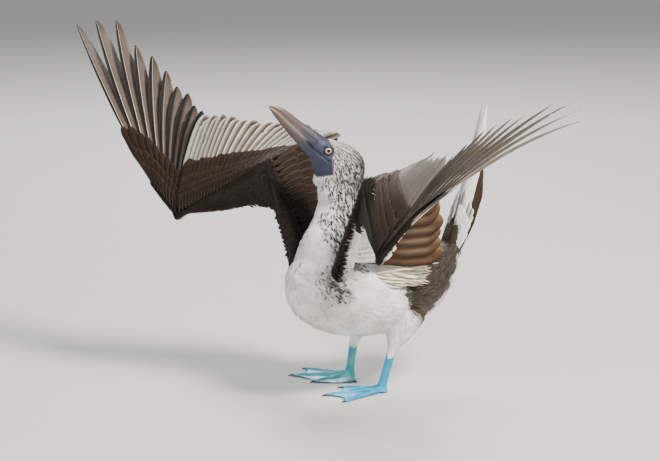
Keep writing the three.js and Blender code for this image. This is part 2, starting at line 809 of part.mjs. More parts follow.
// The fleshy root that holds the tail feathers
function tailBase() {
  const keys = TAIL_BASE.map(({ along: run, wide, high, low }) => ({
    at: along(TAIL_ROOT, [TAIL_RISE, run]),
    wide,
    high,
    low,
  }));
  return smoothBody(keys, TAIL_FACE, TAIL_BASE_STEPS, TAIL_BASE_SIDES);
}

// Wings. Each group of feathers runs between a line of roots along the arm and a curve of tips

const handEnd = (side) =>
  mix(WRIST, PRIMARY_TIPS[PRIMARY_TIPS.length - 1], HAND_SHARE).add(HAND_AHEAD).addScaledVector(UP, side * HAND_DROP);
const onCurve = (points, t) => new THREE.CatmullRomCurve3(points).getPoint(t);
const wingGroups = (side) => ({
  tertials: {
    from: mix(SHOULDER, ELBOW, 0.1),
    to: mix(SHOULDER, ELBOW, 1),
    tips: TERTIAL_TIPS,
    first: -1,
    last: 1 - BORDER,
    sweep: [0, 0.02],
    camber: [0.03, 0.04],
    roll: 0,
  },
  secondaries: {
    from: mix(ELBOW, WRIST, 0.1),
    to: mix(ELBOW, WRIST, 0.99),
    tips: SECONDARY_TIPS,
    first: BORDER,
    last: 1 - BORDER,
    sweep: [0.02, 0.02],
    camber: [0.04, 0.04],
    roll: 0,
  },
  primaries: {
    from: mix(WRIST, handEnd(side), 0.03),
    to: handEnd(side),
    tips: PRIMARY_TIPS.map((tip, n) => along(tip, [UP, side * SPREAD[n]])),
    first: BORDER,
    last: 2,
    sweep: [0.02, side > 0 ? HAND_SWEEP.near : HAND_SWEEP.far],
    camber: [0.04, 0.02],
    roll: HAND_ROLL,
  },
});

// The sheet that a group's feathers lie in: t runs from its first feather to its last, u from root to tip
function groupSheet({ from, to, tips, sweep, camber }) {
  const rootRun = to.clone().sub(from);
  const within = (t) => THREE.MathUtils.clamp(t, 0, 1);
  const tipRun = (t) => {
    const [low, high] = [within(t - SMOOTHING), within(t + SMOOTHING)];
    return onCurve(tips, high).sub(onCurve(tips, low)).divideScalar(high - low);
  };
  const far = (t) => along(onCurve(tips, within(t)), [tipRun(within(t)), t - within(t)]);
  const root = (t) => mix(from, to, t);
  const axes = (t) => {
    const shaft = far(t).sub(root(t));
    const normal = tipRun(within(t)).add(rootRun).cross(shaft).normalize();
    return { normal, lead: shaft.clone().cross(normal).normalize(), length: shaft.length() };
  };
  const point = (t, u, height) => {
    const { normal, lead, length } = axes(t);
    const bow = 4 * u * (1 - u) * length;
    const forward = THREE.MathUtils.lerp(sweep[0], sweep[1], within(t)) * bow;
    const raised = THREE.MathUtils.lerp(camber[0], camber[1], within(t)) * bow + height;
    return along(mix(root(t), far(t), u), [lead, forward], [normal, raised]);
  };
  const spacing = (t, u) => {
    const { lead } = axes(t);
    return THREE.MathUtils.lerp(rootRun.dot(lead), tipRun(within(t)).dot(lead), u);
  };
  return { point, axes, spacing };
}

// One tier of a group: count feathers that reach a share of the way to the tips, lifted off the sheet.
// Each vane tilts across the sheet like a slat, so that it clears its neighbours by the same height all along
function tier(group, look, side) {
  const { count, reach, width, lifts, shape, start, end } = look;
  const { point, axes, spacing } = groupSheet(group);
  const { first, last, roll } = group;
  const pieces = [];
  const slope = (LAYER * (count - 1)) / (end - start);
  for (let n = 0; n < count; n++) {
    const t = THREE.MathUtils.lerp(start, end, n / (count - 1));
    const vary = reach < 1 ? 1 + LENGTH_VARIATION * Math.sin(TIER_PHASE * (n + 1) * (1 + reach)) : 1;
    const edges = shape.stations.map((share, k) => {
      const u = share * reach * vary;
      const { normal, lead } = axes(t);
      const angle = roll * (0.5 + 0.5 * t) * THREE.MathUtils.smoothstep(u, ROLL_FROM, ROLL_TO);
      const lift = THREE.MathUtils.lerp(lifts[0], lifts[1], share);
      const breadth = width * shape.breadth[k];
      const place = (offset) => {
        const flat = (offset * Math.cos(angle)) / Math.max(spacing(t, u), SPACING_LEAST);
        const at = THREE.MathUtils.clamp(t + flat, first, last);
        return along(point(at, u, lift + slope * (at - t)), [normal, offset * Math.sin(angle)]);
      };
      return {
        front: place(breadth * shape.leadShare),
        back: place(-breadth * (1 - shape.leadShare)),
        face: normal.clone().multiplyScalar(Math.cos(angle)).addScaledVector(lead, -Math.sin(angle)),
      };
    });
    pieces.push(ribbon(edges, shape.thick, side));
  }
  return pieces;
}

function armSolid(from, to, sizes, upHint, side, grow = 0) {
  const keys = sizes.map(({ share, chord, thick }) => ({
    at: mix(from, to, share),
    wide: chord,
    high: thick,
    low: thick,
  }));
  return smoothBody(keys, upHint, ARM_STEPS, ARM_SIDES, grow, side);
}

const upperArm = (side, grow = 0) => armSolid(SHOULDER, ELBOW, UPPER_ARM, UPPER_ARM_FACE, side, grow);
const forearm = (side, grow = 0) => armSolid(ELBOW, WRIST, FOREARM, FOREARM_FACE, side, grow);
const handArm = (side) => armSolid(WRIST, handEnd(side), HAND, HAND_FACE, side);

// The fold of skin and small feathers between shoulder, elbow and wrist, along the wing's leading edge
function leadingFold(side) {
  const rows = [];
  const normals = [];
  for (let j = 0; j <= FOLD_ROWS; j++) {
    rows.push([]);
    normals.push([]);
    for (let i = 0; i <= FOLD_COLUMNS; i++) {
      const t = i / FOLD_COLUMNS;
      const edge = onCurve(FOLD_FRONT, t);
      const arm = onCurve(FOLD_BACK, t);
      const run = onCurve(FOLD_FRONT, Math.min(1, t + 0.05)).sub(onCurve(FOLD_FRONT, Math.max(0, t - 0.05)));
      const normal = run.cross(arm.clone().sub(edge)).normalize();
      const share = j / FOLD_ROWS;
      rows[j].push(along(mix(edge, arm, share), [normal, FOLD_BULGE * share * (1 - share)]));
      normals[j].push(normal);
    }
  }
  return sheetSolid(rows, normals, FOLD_THICK, side);
}

function wingPieces(side) {
  const { tertials, secondaries, primaries } = wingGroups(side);
  const outward = mirrored(WRIST.clone().sub(ELBOW).normalize(), side);
  const elbowCut = mirrored(mix(ELBOW, WRIST, ELBOW_CUT), side);
  const wristCut = mirrored(mix(WRIST, handEnd(side), WRIST_CUT), side);
  const tiers = (group, names) => names.flatMap((name) => tier(group, TIERS[name], side));
  const upper = joined([upperArm(side), ...tiers(tertials, ["tertials", "tertialCoverts", "axillaries"])]);
  const middleArm = (grow) =>
    forearm(side, grow)
      .subtract(beyond(along(elbowCut, [outward, -grow]), outward.clone().negate()))
      .subtract(beyond(along(wristCut, [outward, grow]), outward));
  const middle = joined([
    middleArm(0),
    leadingFold(side),
    ...tiers(secondaries, ["secondaries", "secondaryCoverts", "medianCoverts"]),
  ]);
  const hand = joined([
    handArm(side).subtract(beyond(along(wristCut, [outward, GAP]), outward.clone().negate())),
    ...tiers(primaries, ["primaries", "primaryCoverts", "medianPrimaryCoverts"]),
  ]);
  return {
    upper: upper.subtract(torsoSolid(GAP)).subtract(wholeNeck(GAP)),
    middle: middle.subtract(upperArm(side, GAP)),
    hand: hand.subtract(middleArm(GAP)),
  };
}

// The bird, one named mesh for each part

const bird = new THREE.Group();

function addNode(name, made, look) {
  const { vertProperties, triVerts, numProp } = largest(made).getMesh();
  const geometry = new THREE.BufferGeometry();
  const positions = new Float32Array((vertProperties.length / numProp) * 3);
  for (let i = 0; i < positions.length / 3; i++)
    positions.set(vertProperties.subarray(i * numProp, i * numProp + 3), i * 3);
  geometry.setAttribute("position", new THREE.BufferAttribute(positions, 3));
  geometry.setIndex(new THREE.BufferAttribute(triVerts, 1));
  geometry.computeVertexNormals();
  const [color, roughness] = COLOURS[look];
  const mesh = new THREE.Mesh(geometry, new THREE.MeshStandardMaterial({ color, roughness, metalness: 0 }));
  mesh.name = name;
  bird.add(mesh);
}

addNode("torso", torsoSolid(), "torso");
addNode("neck", neckSolid(), "neck");
addNode("head", faceSolid(), "head");
addNode("bill_upper", billSolid(true), "bill_upper");
addNode("bill_lower", billSolid(false), "bill_lower");
addNode("tail", tailSolid(), "tail");
for (const [name, side] of [["left", 1], ["right", -1]]) {
  const leg = LEGS[name];
  const wing = wingPieces(side);
  addNode("eye_" + name, ball(side, EYE.radius), "eye");
  addNode("wing_upper_" + name, wing.upper, "wing");
  addNode("wing_middle_" + name, wing.middle, "wing");
  addNode("wing_hand_" + name, wing.hand, "wing");
  addNode("thigh_" + name, thighSolid(leg), "thigh");
  addNode("leg_" + name, tarsusSolid(leg), "leg");
  addNode("foot_" + name, footSolid(leg, side), "foot");
}

const box = new THREE.Box3().setFromObject(bird);
bird.position.set(-(box.min.x + box.max.x) / 2, -(box.min.y + box.max.y) / 2, -box.min.z);

export default bird;
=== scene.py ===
"""A blue-footed booby, life size, in its sky-pointing display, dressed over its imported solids.

Lengths are in millimetres in a working frame whose origin lies on the floor between the feet: the bird
faces -Y, its left is +X and +Z is up. Each piece is moved into the part's frame, in metres, as it is made.
"""

import logging
import math
from dataclasses import dataclass, field
from enum import Enum
from typing import Callable

import bpy
import numpy as np
from mathutils import Matrix, Vector
from mathutils.kdtree import KDTree


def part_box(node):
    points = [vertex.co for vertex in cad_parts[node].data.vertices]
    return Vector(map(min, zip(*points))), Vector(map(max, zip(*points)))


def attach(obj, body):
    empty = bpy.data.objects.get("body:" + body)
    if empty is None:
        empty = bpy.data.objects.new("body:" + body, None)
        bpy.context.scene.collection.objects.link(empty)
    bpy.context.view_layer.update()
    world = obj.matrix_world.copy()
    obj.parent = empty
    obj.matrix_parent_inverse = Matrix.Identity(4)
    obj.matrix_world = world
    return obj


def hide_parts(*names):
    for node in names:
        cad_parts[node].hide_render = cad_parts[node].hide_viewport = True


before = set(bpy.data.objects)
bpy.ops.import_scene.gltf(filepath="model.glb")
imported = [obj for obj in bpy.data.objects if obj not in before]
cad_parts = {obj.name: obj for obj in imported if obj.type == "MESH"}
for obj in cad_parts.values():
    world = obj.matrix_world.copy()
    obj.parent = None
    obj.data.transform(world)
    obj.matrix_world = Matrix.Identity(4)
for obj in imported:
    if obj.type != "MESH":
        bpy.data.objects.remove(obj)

logging.basicConfig(level=logging.INFO, format="%(message)s")
LOG = logging.getLogger("booby")

Array = np.ndarray
Socket = bpy.types.NodeSocket
Mesh = bpy.types.Mesh
Piece = bpy.types.Object
Material = bpy.types.Material
Pair = tuple[float, float]
Triple = tuple[float, float, float]
MM = 0.001
SEED = 7305
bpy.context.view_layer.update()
UP = np.array((0.0, 0.0, 1.0))
FRONT = np.array((0.0, -1.0, 0.0))


class Side(Enum):
    """The bird's own left and right, with the sign that mirrors a left-hand shape."""

    LEFT = 1
    RIGHT = -1

    @property
    def word(self) -> str:
        """The word that ends the names of this side's pieces."""
        return self.name.lower()


# Measures that the solids share


class Measures:
    """Driving sizes of the whole bird, as in its solids."""

    head_turn = math.radians(25)
    head_tilt = math.radians(42)
    between_eyes = np.array((-10.8, -73.2, 371.0))
    eye_out = 12.6
    eye_radius = 7.5
    shoulder = np.array((50.0, -92.0, 205.0))
    elbow = np.array((110.0, -97.0, 340.0))
    wrist = np.array((226.0, -179.0, 255.0))
    hand_share = 0.18
    hand_ahead = np.array((4.0, -12.0, 6.0))
    hand_drop = 11.0
    tail_root = np.array((0.0, 163.0, 188.0))
    tail_tip = np.array((0.0, 241.5, 410.0))
    tail_tent = math.radians(27)


HEAD_LEFT = np.array((math.cos(Measures.head_turn), -math.sin(Measures.head_turn), 0.0))
HEADING = np.array((-math.sin(Measures.head_turn), -math.cos(Measures.head_turn), 0.0))
HEAD_FORWARD = HEADING * math.cos(Measures.head_tilt) + UP * math.sin(Measures.head_tilt)
HEAD_UP = UP * math.cos(Measures.head_tilt) - HEADING * math.sin(Measures.head_tilt)


def head_point(forward: float, up: float, left: float = 0.0) -> Array:
    """A place given along the bill's axis, towards the crown and to the left, from between the eyes."""
    return Measures.between_eyes + HEAD_FORWARD * forward + HEAD_UP * up + HEAD_LEFT * left


def from_eyes(points: Array) -> tuple[Array, Array, Array]:
    """How far points lie ahead of the eyes, above them and to their left, along the head's own axes."""
    off = points - Measures.between_eyes
    return off @ HEAD_FORWARD, off @ HEAD_UP, off @ HEAD_LEFT


def frame_shift() -> Array:
    """How far the part's frame lies from the working frame, measured on the left eye."""
    low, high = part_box("eye_left")
    centre = (np.array(low) + np.array(high)) / 2
    return centre - head_point(0, 0, Measures.eye_out) * MM


SHIFT = frame_shift()


# Vectors and curves


def unit(vectors: Array) -> Array:
    """Vectors scaled to length one."""
    return vectors / np.maximum(np.linalg.norm(vectors, axis=-1, keepdims=True), 1e-9)


def lerp(a: float | Array, b: float | Array, share: float | Array) -> float | Array:
    """The value a share of the way from a to b."""
    return a + (b - a) * share


def dots(first: Array, second: Array) -> Array:
    """The dot product of each row of one list of vectors with its row of another."""
    return np.einsum("ij,ij->i", first, second)


def turns(count: int) -> Array:
    """Angles at equal steps round a circle."""
    return np.linspace(0, 2 * math.pi, count, endpoint=False)


def blend(first: Array, second: Array, share: Array) -> Array:
    """Colours or places a share of the way from the first to the second, one for each share."""
    return lerp(first, second, share[..., None])


def ramp(value: Array, low: float, high: float) -> Array:
    """A smooth step from 0 at low to 1 at high."""
    share = np.clip((value - low) / (high - low), 0, 1)
    return share * share * (3 - 2 * share)


def mirrored(points: Array, side: Side) -> Array:
    """Left-hand points, turned to the other side where it is the right."""
    return points * np.array((side.value, 1, 1))


def on_curve(keys: Array, t: float | Array, even: bool = False) -> Array:
    """Points on a smooth curve through its keys.

    Args:
        keys: The keys, one a row.
        t: Where along the curve, from 0 to 1, with the keys at equal steps.
        even: True weighs the keys alike, False by the distance between them.

    Returns:
        One row for each t.
    """
    keys = np.asarray(keys, float)
    ends = np.vstack([2 * keys[0] - keys[1], keys, 2 * keys[-1] - keys[-2]])
    at = np.clip(np.atleast_1d(t).astype(float), 0, 1) * (len(keys) - 1)
    start = np.minimum(at.astype(int), len(keys) - 2)
    share = (at - start)[:, None]
    a, b, c, d = (ends[start + step] for step in range(4))
    gaps = [np.ones_like(share) if even else np.sqrt(np.linalg.norm(q - p, axis=1))[:, None]
            for p, q in ((a, b), (b, c), (c, d))]
    into, across, out = (np.maximum(gap, 1e-4) for gap in gaps)
    leave = ((b - a) / into - (c - a) / (into + across) + (c - b) / across) * across
    arrive = ((c - b) / across - (d - b) / (across + out) + (d - c) / out) * across
    square = -3 * b + 3 * c - 2 * leave - arrive
    return b + leave * share + square * share**2 + (2 * b - 2 * c + leave + arrive) * share**3


# Meshes


@dataclass
class Shell:
    """Points, faces and point values of a piece in the making, in the working frame."""

    points: Array
    faces: list[Array]
    values: dict[str, Array] = field(default_factory=dict)

    @staticmethod
    def joined(shells: list["Shell"]) -> "Shell":
        """Several shells as one, with their values kept."""
        starts = np.cumsum([0] + [len(shell.points) for shell in shells])
        faces = [block + start for shell, start in zip(shells, starts) for block in shell.faces]
        values = {name: np.concatenate([shell.values[name] for shell in shells]) for name in shells[0].values}
        return Shell(np.concatenate([shell.points for shell in shells]), faces, values)

    def turned_out(self) -> "Shell":
        """The same shell with its faces pointing outwards, judged by its signed volume."""
        volume = 0.0
        for block in self.faces:
            a = self.points[block[:, 0]]
            for second in range(1, block.shape[1] - 1):
                b, c = self.points[block[:, second]], self.points[block[:, second + 1]]
                volume += np.einsum("ij,ij->", a, np.cross(b, c))
        if volume < 0:
            self.faces = [block[:, ::-1] for block in self.faces]
        return self

    def to_object(self, name: str, material: Material | None, smooth: bool = True) -> Piece:
        """Makes a Blender object in the part's frame.

        Args:
            name: The piece's name.
            material: Its finish, if it has one yet.
            smooth: Whether its faces are shaded smooth.

        Returns:
            The new object, linked to the scene, at the origin.
        """
        mesh = self.to_mesh(name, self.points * MM + SHIFT, smooth)
        if material is not None:
            mesh.materials.append(material)
        return placed(name, mesh)

    def to_mesh(self, name: str, points: Array, smooth: bool = True) -> Mesh:
        """The faces and values as a mesh over the given points."""
        mesh = bpy.data.meshes.new(name)
        mesh.from_pydata(points.tolist(), [], [face for block in self.faces for face in block.tolist()])
        for key, value in self.values.items():
            write_value(mesh, key, value)
        if smooth:
            mesh.shade_smooth()
        return mesh


def placed(name: str, data: bpy.types.ID, home: bpy.types.Collection | None = None) -> Piece:
    """A new object, linked to a collection of its own where one is given."""
    made = bpy.data.objects.new(name, data)
    (home or bpy.context.collection).objects.link(made)
    return made


def write_value(mesh: Mesh, name: str, value: Array) -> None:
    """Stores one value a point on a mesh: a number, a vector or a colour, in place of one of that name."""
    if name in mesh.attributes:
        mesh.attributes.remove(mesh.attributes[name])
    kind, key = {1: ("FLOAT", "value"), 3: ("FLOAT_VECTOR", "vector"), 4: ("FLOAT_COLOR", "color")}[
        1 if value.ndim == 1 else value.shape[1]
    ]
    mesh.attributes.new(name, kind, "POINT").data.foreach_set(key, value.astype(np.float32).ravel())


def read_points(mesh: Mesh) -> Array:
    """The points of a mesh in the working frame, in millimetres."""
    flat = np.empty(len(mesh.vertices) * 3, np.float32)
    mesh.vertices.foreach_get("co", flat)
    return (flat.reshape(-1, 3) - SHIFT) / MM


def read_normals(mesh: Mesh) -> Array:
    """The directions of a mesh's points."""
    flat = np.empty(len(mesh.vertices) * 3, np.float32)
    mesh.vertex_normals.foreach_get("vector", flat)
    return flat.reshape(-1, 3).astype(float)


def read_value(mesh: Mesh, name: str, width: int) -> Array:
    """A stored point value, as rows of the given width."""
    key = {1: "value", 2: "vector", 3: "vector", 4: "color"}[width]
    flat = np.empty(len(mesh.vertices) * width, np.float32)
    mesh.attributes[name].data.foreach_get(key, flat)
    return flat.reshape(-1, width) if width > 1 else flat


def corner_points(mesh: Mesh) -> Array:
    """The point index of each face corner."""
    corners = np.empty(len(mesh.loops), np.int32)
    mesh.loops.foreach_get("vertex_index", corners)
    return corners


@dataclass(frozen=True)
class Cell:
    """A patch of the map that finishes are baked on, from its low corner to its high one."""

    low_u: float
    low_v: float
    high_u: float
    high_v: float

    def at(self, across: Array, along: Array) -> Array:
        """Places in the patch, from 0 to 1 across it and along it."""
        spots = (lerp(self.low_u, self.high_u, across), lerp(self.low_v, self.high_v, along))
        return np.stack(spots, axis=-1)


def write_bake_map(mesh: Mesh, places: Array) -> None:
    """Stores the map that the finish is baked on, from one place a face corner."""
    layer = mesh.uv_layers.get("OFBake") or mesh.uv_layers.new(name="OFBake")
    layer.uv.foreach_set("vector", np.clip(places, 0, 1).astype(np.float32).ravel())


def applied(made: Piece, name: str) -> Piece:
    """Replaces an object by its evaluated mesh, with no modifiers left.

    Args:
        made: The object with its modifiers.
        name: The name of the finished piece.

    Returns:
        A new object with a plain mesh.
    """
    graph = bpy.context.evaluated_depsgraph_get()
    mesh = bpy.data.meshes.new_from_object(made.evaluated_get(graph), depsgraph=graph)
    old = made.data
    bpy.data.objects.remove(made)
    if old.users == 0:
        bpy.data.meshes.remove(old)
    mesh.name = name
    return placed(name, mesh)


def grid_faces(rows: int, columns: int, wrap: bool = False) -> Array:
    """Quads over a grid of points, closed round its columns where wrap is set."""
    row = np.arange(rows - 1)[:, None] * columns
    column = np.arange(columns if wrap else columns - 1)[None, :]
    following = (column + 1) % columns
    blocks = (row + column, row + following, row + columns + following, row + columns + column)
    return np.stack(blocks, axis=-1).reshape(-1, 4)


def capped(spots: Array, values: dict[str, Array] | None = None) -> Shell:
    """A closed shell over rings of points, with a middle point at each end.

    Args:
        spots: The points, by ring and place round the ring.
        values: Values of the same layout.

    Returns:
        The shell, with its faces outwards.
    """
    rows, columns, _ = spots.shape
    count = rows * columns
    index = np.arange(columns)
    ahead = (index + 1) % columns
    near = np.stack([np.full(columns, count), ahead, index], axis=1)
    far = np.stack([np.full(columns, count + 1), count - columns + index, count - columns + ahead], axis=1)

    def with_ends(value: Array) -> Array:
        flat = value.reshape(count, *value.shape[2:])
        return np.concatenate([flat, value[:1].mean(axis=1), value[-1:].mean(axis=1)])

    kept = {name: with_ends(value) for name, value in (values or {}).items()}
    return Shell(with_ends(spots), [grid_faces(rows, columns, wrap=True), near, far], kept).turned_out()


def sheet(top: Array, low: Array, values: dict[str, Array] | None = None) -> Shell:
    """A thin closed sheet between an upper and a lower grid of points; values list the upper grid first."""
    rows, columns, _ = top.shape
    count = rows * columns
    down = np.arange(1, rows) * columns
    back = count - 2 - np.arange(columns - 1)
    loop = np.concatenate([np.arange(columns), down + columns - 1, back, down[-2::-1]])
    following = np.roll(loop, -1)
    rim = np.stack([loop, loop + count, following + count, following], axis=1)
    face = grid_faces(rows, columns)
    points = np.vstack([top.reshape(-1, 3), low.reshape(-1, 3)])
    return Shell(points, [face, face[:, ::-1] + count, rim], values or {}).turned_out()


# Smooth bodies


@dataclass(frozen=True)
class Ring:
    """One cross-section of a smooth body: its centre, half width, and half height up and down."""

    at: Triple | Array
    wide: float
    high: float
    low: float


class Limb:
    """A smooth closed body through rings, such as a torso, neck, arm or toe."""

    def __init__(self, rings: list[Ring], up_hint: Array, side: Side = Side.LEFT) -> None:
        """Keeps the rings; up_hint is the way that each ring's height points."""
        self.centres = np.array([ring.at for ring in rings], float)
        self.spans = np.array([(ring.wide, ring.high, ring.low) for ring in rings], float)
        self.up_hint = np.asarray(up_hint, float)
        self.side = side

    def axes(self, t: Array) -> tuple[Array, Array, Array, Array]:
        """Centre, run, sideways and upward directions at places along the body."""
        step = 0.002
        centre = on_curve(self.centres, t, even=True)
        run = unit(on_curve(self.centres, t + step, even=True) - on_curve(self.centres, t - step, even=True))
        sideways = unit(np.cross(self.up_hint, run))
        return centre, run, sideways, np.cross(run, sideways)

    def shell(self, steps: int, sides: int, grow: float | Callable[[Array], Array] = 0.0) -> Shell:
        """The body's surface.

        Args:
            steps: Rings along the body.
            sides: Points round each ring.
            grow: Millimetres added all round, as a number or a function of the place along the body.

        Returns:
            A closed shell.
        """
        t = np.linspace(0, 1, steps + 1)
        centre, run, sideways, up = self.axes(t)
        spans = on_curve(self.spans, t, even=True)
        extra = (grow(t) if callable(grow) else np.full_like(t, grow))[:, None]
        ahead = np.zeros_like(t)
        ahead[0], ahead[-1] = -1, 1
        centre = centre + run * (ahead[:, None] * extra)
        sizes = np.maximum(spans + extra, 0.05)
        angle = turns(sides)[None, :]
        lift = np.where(np.sin(angle) > 0, sizes[:, 1:2], sizes[:, 2:3]) * np.sin(angle)
        reach = sizes[:, 0:1] * np.cos(angle)
        rows = centre[:, None] + sideways[:, None] * reach[..., None] + up[:, None] * lift[..., None]
        return capped(mirrored(rows, self.side))


# Finishes


def srgb(text: str) -> Array:
    """A colour given as six hex digits, as linear red, green, blue and one."""
    parts = np.array([int(text[place : place + 2], 16) / 255 for place in (0, 2, 4)])
    linear = np.where(parts <= 0.04045, parts / 12.92, ((parts + 0.055) / 1.055) ** 2.4)
    return np.append(linear, 1.0)


class Palette:
    """The bird's colours."""

    white = srgb("f3f1ed")
    cream = srgb("dccbae")
    shade = srgb("cfcac5")
    streak = srgb("1f1712")
    dark = srgb("241810")
    chocolate = srgb("34261b")
    mottle = srgb("352e2a")
    grey_brown = srgb("5a4c42")
    silver = srgb("8f867c")
    pearl = srgb("d6d0c6")
    tan = srgb("94744c")
    umber = srgb("5d4634")
    primary = srgb("1a1513")
    shaft = srgb("e6ddcb")
    face = srgb("3f4257")
    # Pinkish white of the chin's feathers, also used as painted shade on the lower front of the breast.
    blush = srgb("d8c3b7")
    # The near foot's blue, painted deeper as if in shade.
    blue = srgb("3f9cc4")
    # The far foot's blue, painted paler and greener as if in sunlight.
    aqua = srgb("6cc0c6")


class NodeTree:
    """A node tree, with a short way to add and link nodes."""

    def __init__(self, tree: bpy.types.NodeTree) -> None:
        """Keeps the tree."""
        self.tree = tree

    def add(self, kind: str, feeds: dict | None = None, **settings: object) -> bpy.types.Node:
        """Adds a node.

        Args:
            kind: Its kind.
            feeds: What goes into its inputs, each by name or number: a socket or a plain value.
            settings: Its properties, or plain values of its inputs.

        Returns:
            The node.
        """
        node = self.tree.nodes.new(kind)
        for key, value in settings.items():
            if hasattr(node, key):
                setattr(node, key, value)
            else:
                node.inputs[key.replace("_", " ").title()].default_value = value
        for key, value in (feeds or {}).items():
            self.feed(value, node.inputs[key])
        return node

    def feed(self, value: object, socket: Socket) -> None:
        """Links a socket to an input, or sets the input to a plain value."""
        if isinstance(value, Socket):
            self.tree.links.new(value, socket)
        else:
            socket.default_value = value

    def math(self, operation: str, *values: object) -> Socket:
        """A math node over numbers or sockets."""
        return self.add("ShaderNodeMath", dict(enumerate(values)), operation=operation).outputs[0]


class NodeBook(NodeTree):
    """A material's node tree."""

    def __init__(self, name: str) -> None:
        """Makes an empty material with a principled shader and an output."""
        self.material = bpy.data.materials.new(name)
        self.material.use_nodes = True
        super().__init__(self.material.node_tree)
        self.tree.nodes.clear()
        self.shader = self.add("ShaderNodeBsdfPrincipled")
        self.add("ShaderNodeOutputMaterial", {"Surface": self.shader.outputs["BSDF"]})

    def attribute(self, name: str, output: str = "Fac") -> Socket:
        """A stored point value."""
        return self.add("ShaderNodeAttribute", attribute_name=name).outputs[output]

    def place(self) -> Socket:
        """The object coordinates."""
        return self.add("ShaderNodeTexCoord").outputs["Object"]

    def noise(self, vector: Socket, scale: float, detail: float = 3.0) -> Socket:
        """A noise value over a vector."""
        return self.add("ShaderNodeTexNoise", {"Vector": vector}, scale=scale, detail=detail).outputs["Fac"]

    def spread(self, value: Socket, low: float, high: float, to_low: float, to_high: float) -> Socket:
        """Maps a value from one range to another."""
        feeds = {"Value": value, "From Min": low, "From Max": high, "To Min": to_low, "To Max": to_high}
        return self.add("ShaderNodeMapRange", feeds).outputs["Result"]

    def mix(self, share: object, first: object, second: object, mode: str = "MIX") -> Socket:
        """Mixes two colours."""
        feeds = {"Factor": share, 6: first, 7: second}
        return self.add("ShaderNodeMix", feeds, data_type="RGBA", blend_type=mode).outputs[2]

    def shaded(self, tone: Socket, shade: Socket) -> Socket:
        """A colour times a number."""
        grey = self.add("ShaderNodeCombineColor", {0: shade, 1: shade, 2: shade})
        return self.mix(1.0, tone, grey.outputs["Color"], "MULTIPLY")

    def bump(self, height: Socket, strength: float, distance: float) -> None:
        """Adds a bump to the shader, over any bump it has already."""
        node = self.add("ShaderNodeBump", {"Height": height}, strength=strength, distance=distance)
        before = self.shader.inputs["Normal"].links
        if before:
            self.feed(before[0].from_socket, node.inputs["Normal"])
        self.finish(normal=node.outputs["Normal"])

    def finish(self, **values: object) -> Material:
        """Feeds the shader's own inputs, named in small letters, and gives the material."""
        for key, value in values.items():
            name = {"ior": "IOR", "specular": "Specular IOR Level"}.get(key, key.replace("_", " ").title())
            self.feed(value, self.shader.inputs[name])
        return self.material


@dataclass(frozen=True)
class FeatherFinish:
    """Feathers: the stored tone, fine barbs across each vane and a soft sheen."""

    name: str
    roughness: float = 0.6
    sheen: float = 0.05
    barbs: float = 160.0
    barb_slant: float = 9.0
    barb_depth: float = 0.12
    barb_shade: float = 0.07
    mottling: float = 0.12
    centre: float = 0.8
    soft: float = 0.14

    def material(self) -> Material:
        """The finish as a material."""
        book = NodeBook(self.name)
        run = book.attribute("run")
        across = book.math("ABSOLUTE", book.attribute("across"))
        narrow = book.spread(across, self.centre - self.soft, self.centre + self.soft, 1.0, 0.0)
        centre = book.math("MULTIPLY", narrow, book.attribute("centre"))
        tone = book.mix(centre, book.attribute("tone", "Color"), tuple(Palette.streak))
        barbs = book.math("MULTIPLY", run, self.barbs)
        slanted = book.math("SUBTRACT", barbs, book.math("MULTIPLY", across, self.barb_slant))
        stripes = book.math("SINE", book.math("MULTIPLY", slanted, 6.283))
        place = book.place()
        uneven = book.math("MULTIPLY", stripes, book.noise(place, 900.0, 2.0))
        patches = book.spread(book.noise(place, 70.0, 4.0), 0.3, 0.7, -self.mottling, self.mottling)
        barbed = book.spread(uneven, -0.6, 0.6, 1.0 - self.barb_shade, 1.0 + self.barb_shade * 0.6)
        book.bump(uneven, self.barb_depth, 0.0004)
        return book.finish(
            base_color=book.shaded(tone, book.math("ADD", barbed, patches)),
            roughness=self.roughness,
            sheen_weight=self.sheen,
            sheen_roughness=0.5,
            specular=0.3,
        )


@dataclass(frozen=True)
class SkinFinish:
    """Bare skin: the stored tone with pores, folds and blotches."""

    name: str
    roughness: float = 0.5
    pores: float = 900.0
    depth: float = 0.35
    blotch: float = 0.14

    def material(self) -> Material:
        """The finish as a material."""
        book = NodeBook(self.name)
        place = book.place()
        blotches = book.spread(book.noise(place, 60.0, 5.0), 0.3, 0.7, 1 - self.blotch, 1 + self.blotch)
        cells = book.add("ShaderNodeTexVoronoi", {"Vector": place}, scale=self.pores)
        book.bump(cells.outputs["Distance"], self.depth, 0.0004)
        book.bump(book.noise(place, 220.0, 4.0), self.depth, 0.0008)
        worn = book.noise(place, 150.0, 3.0)
        return book.finish(
            base_color=book.shaded(book.attribute("tone", "Color"), blotches),
            roughness=book.spread(worn, 0.3, 0.7, self.roughness - 0.08, self.roughness + 0.1),
            subsurface_weight=0.08,
            subsurface_scale=0.003,
        )


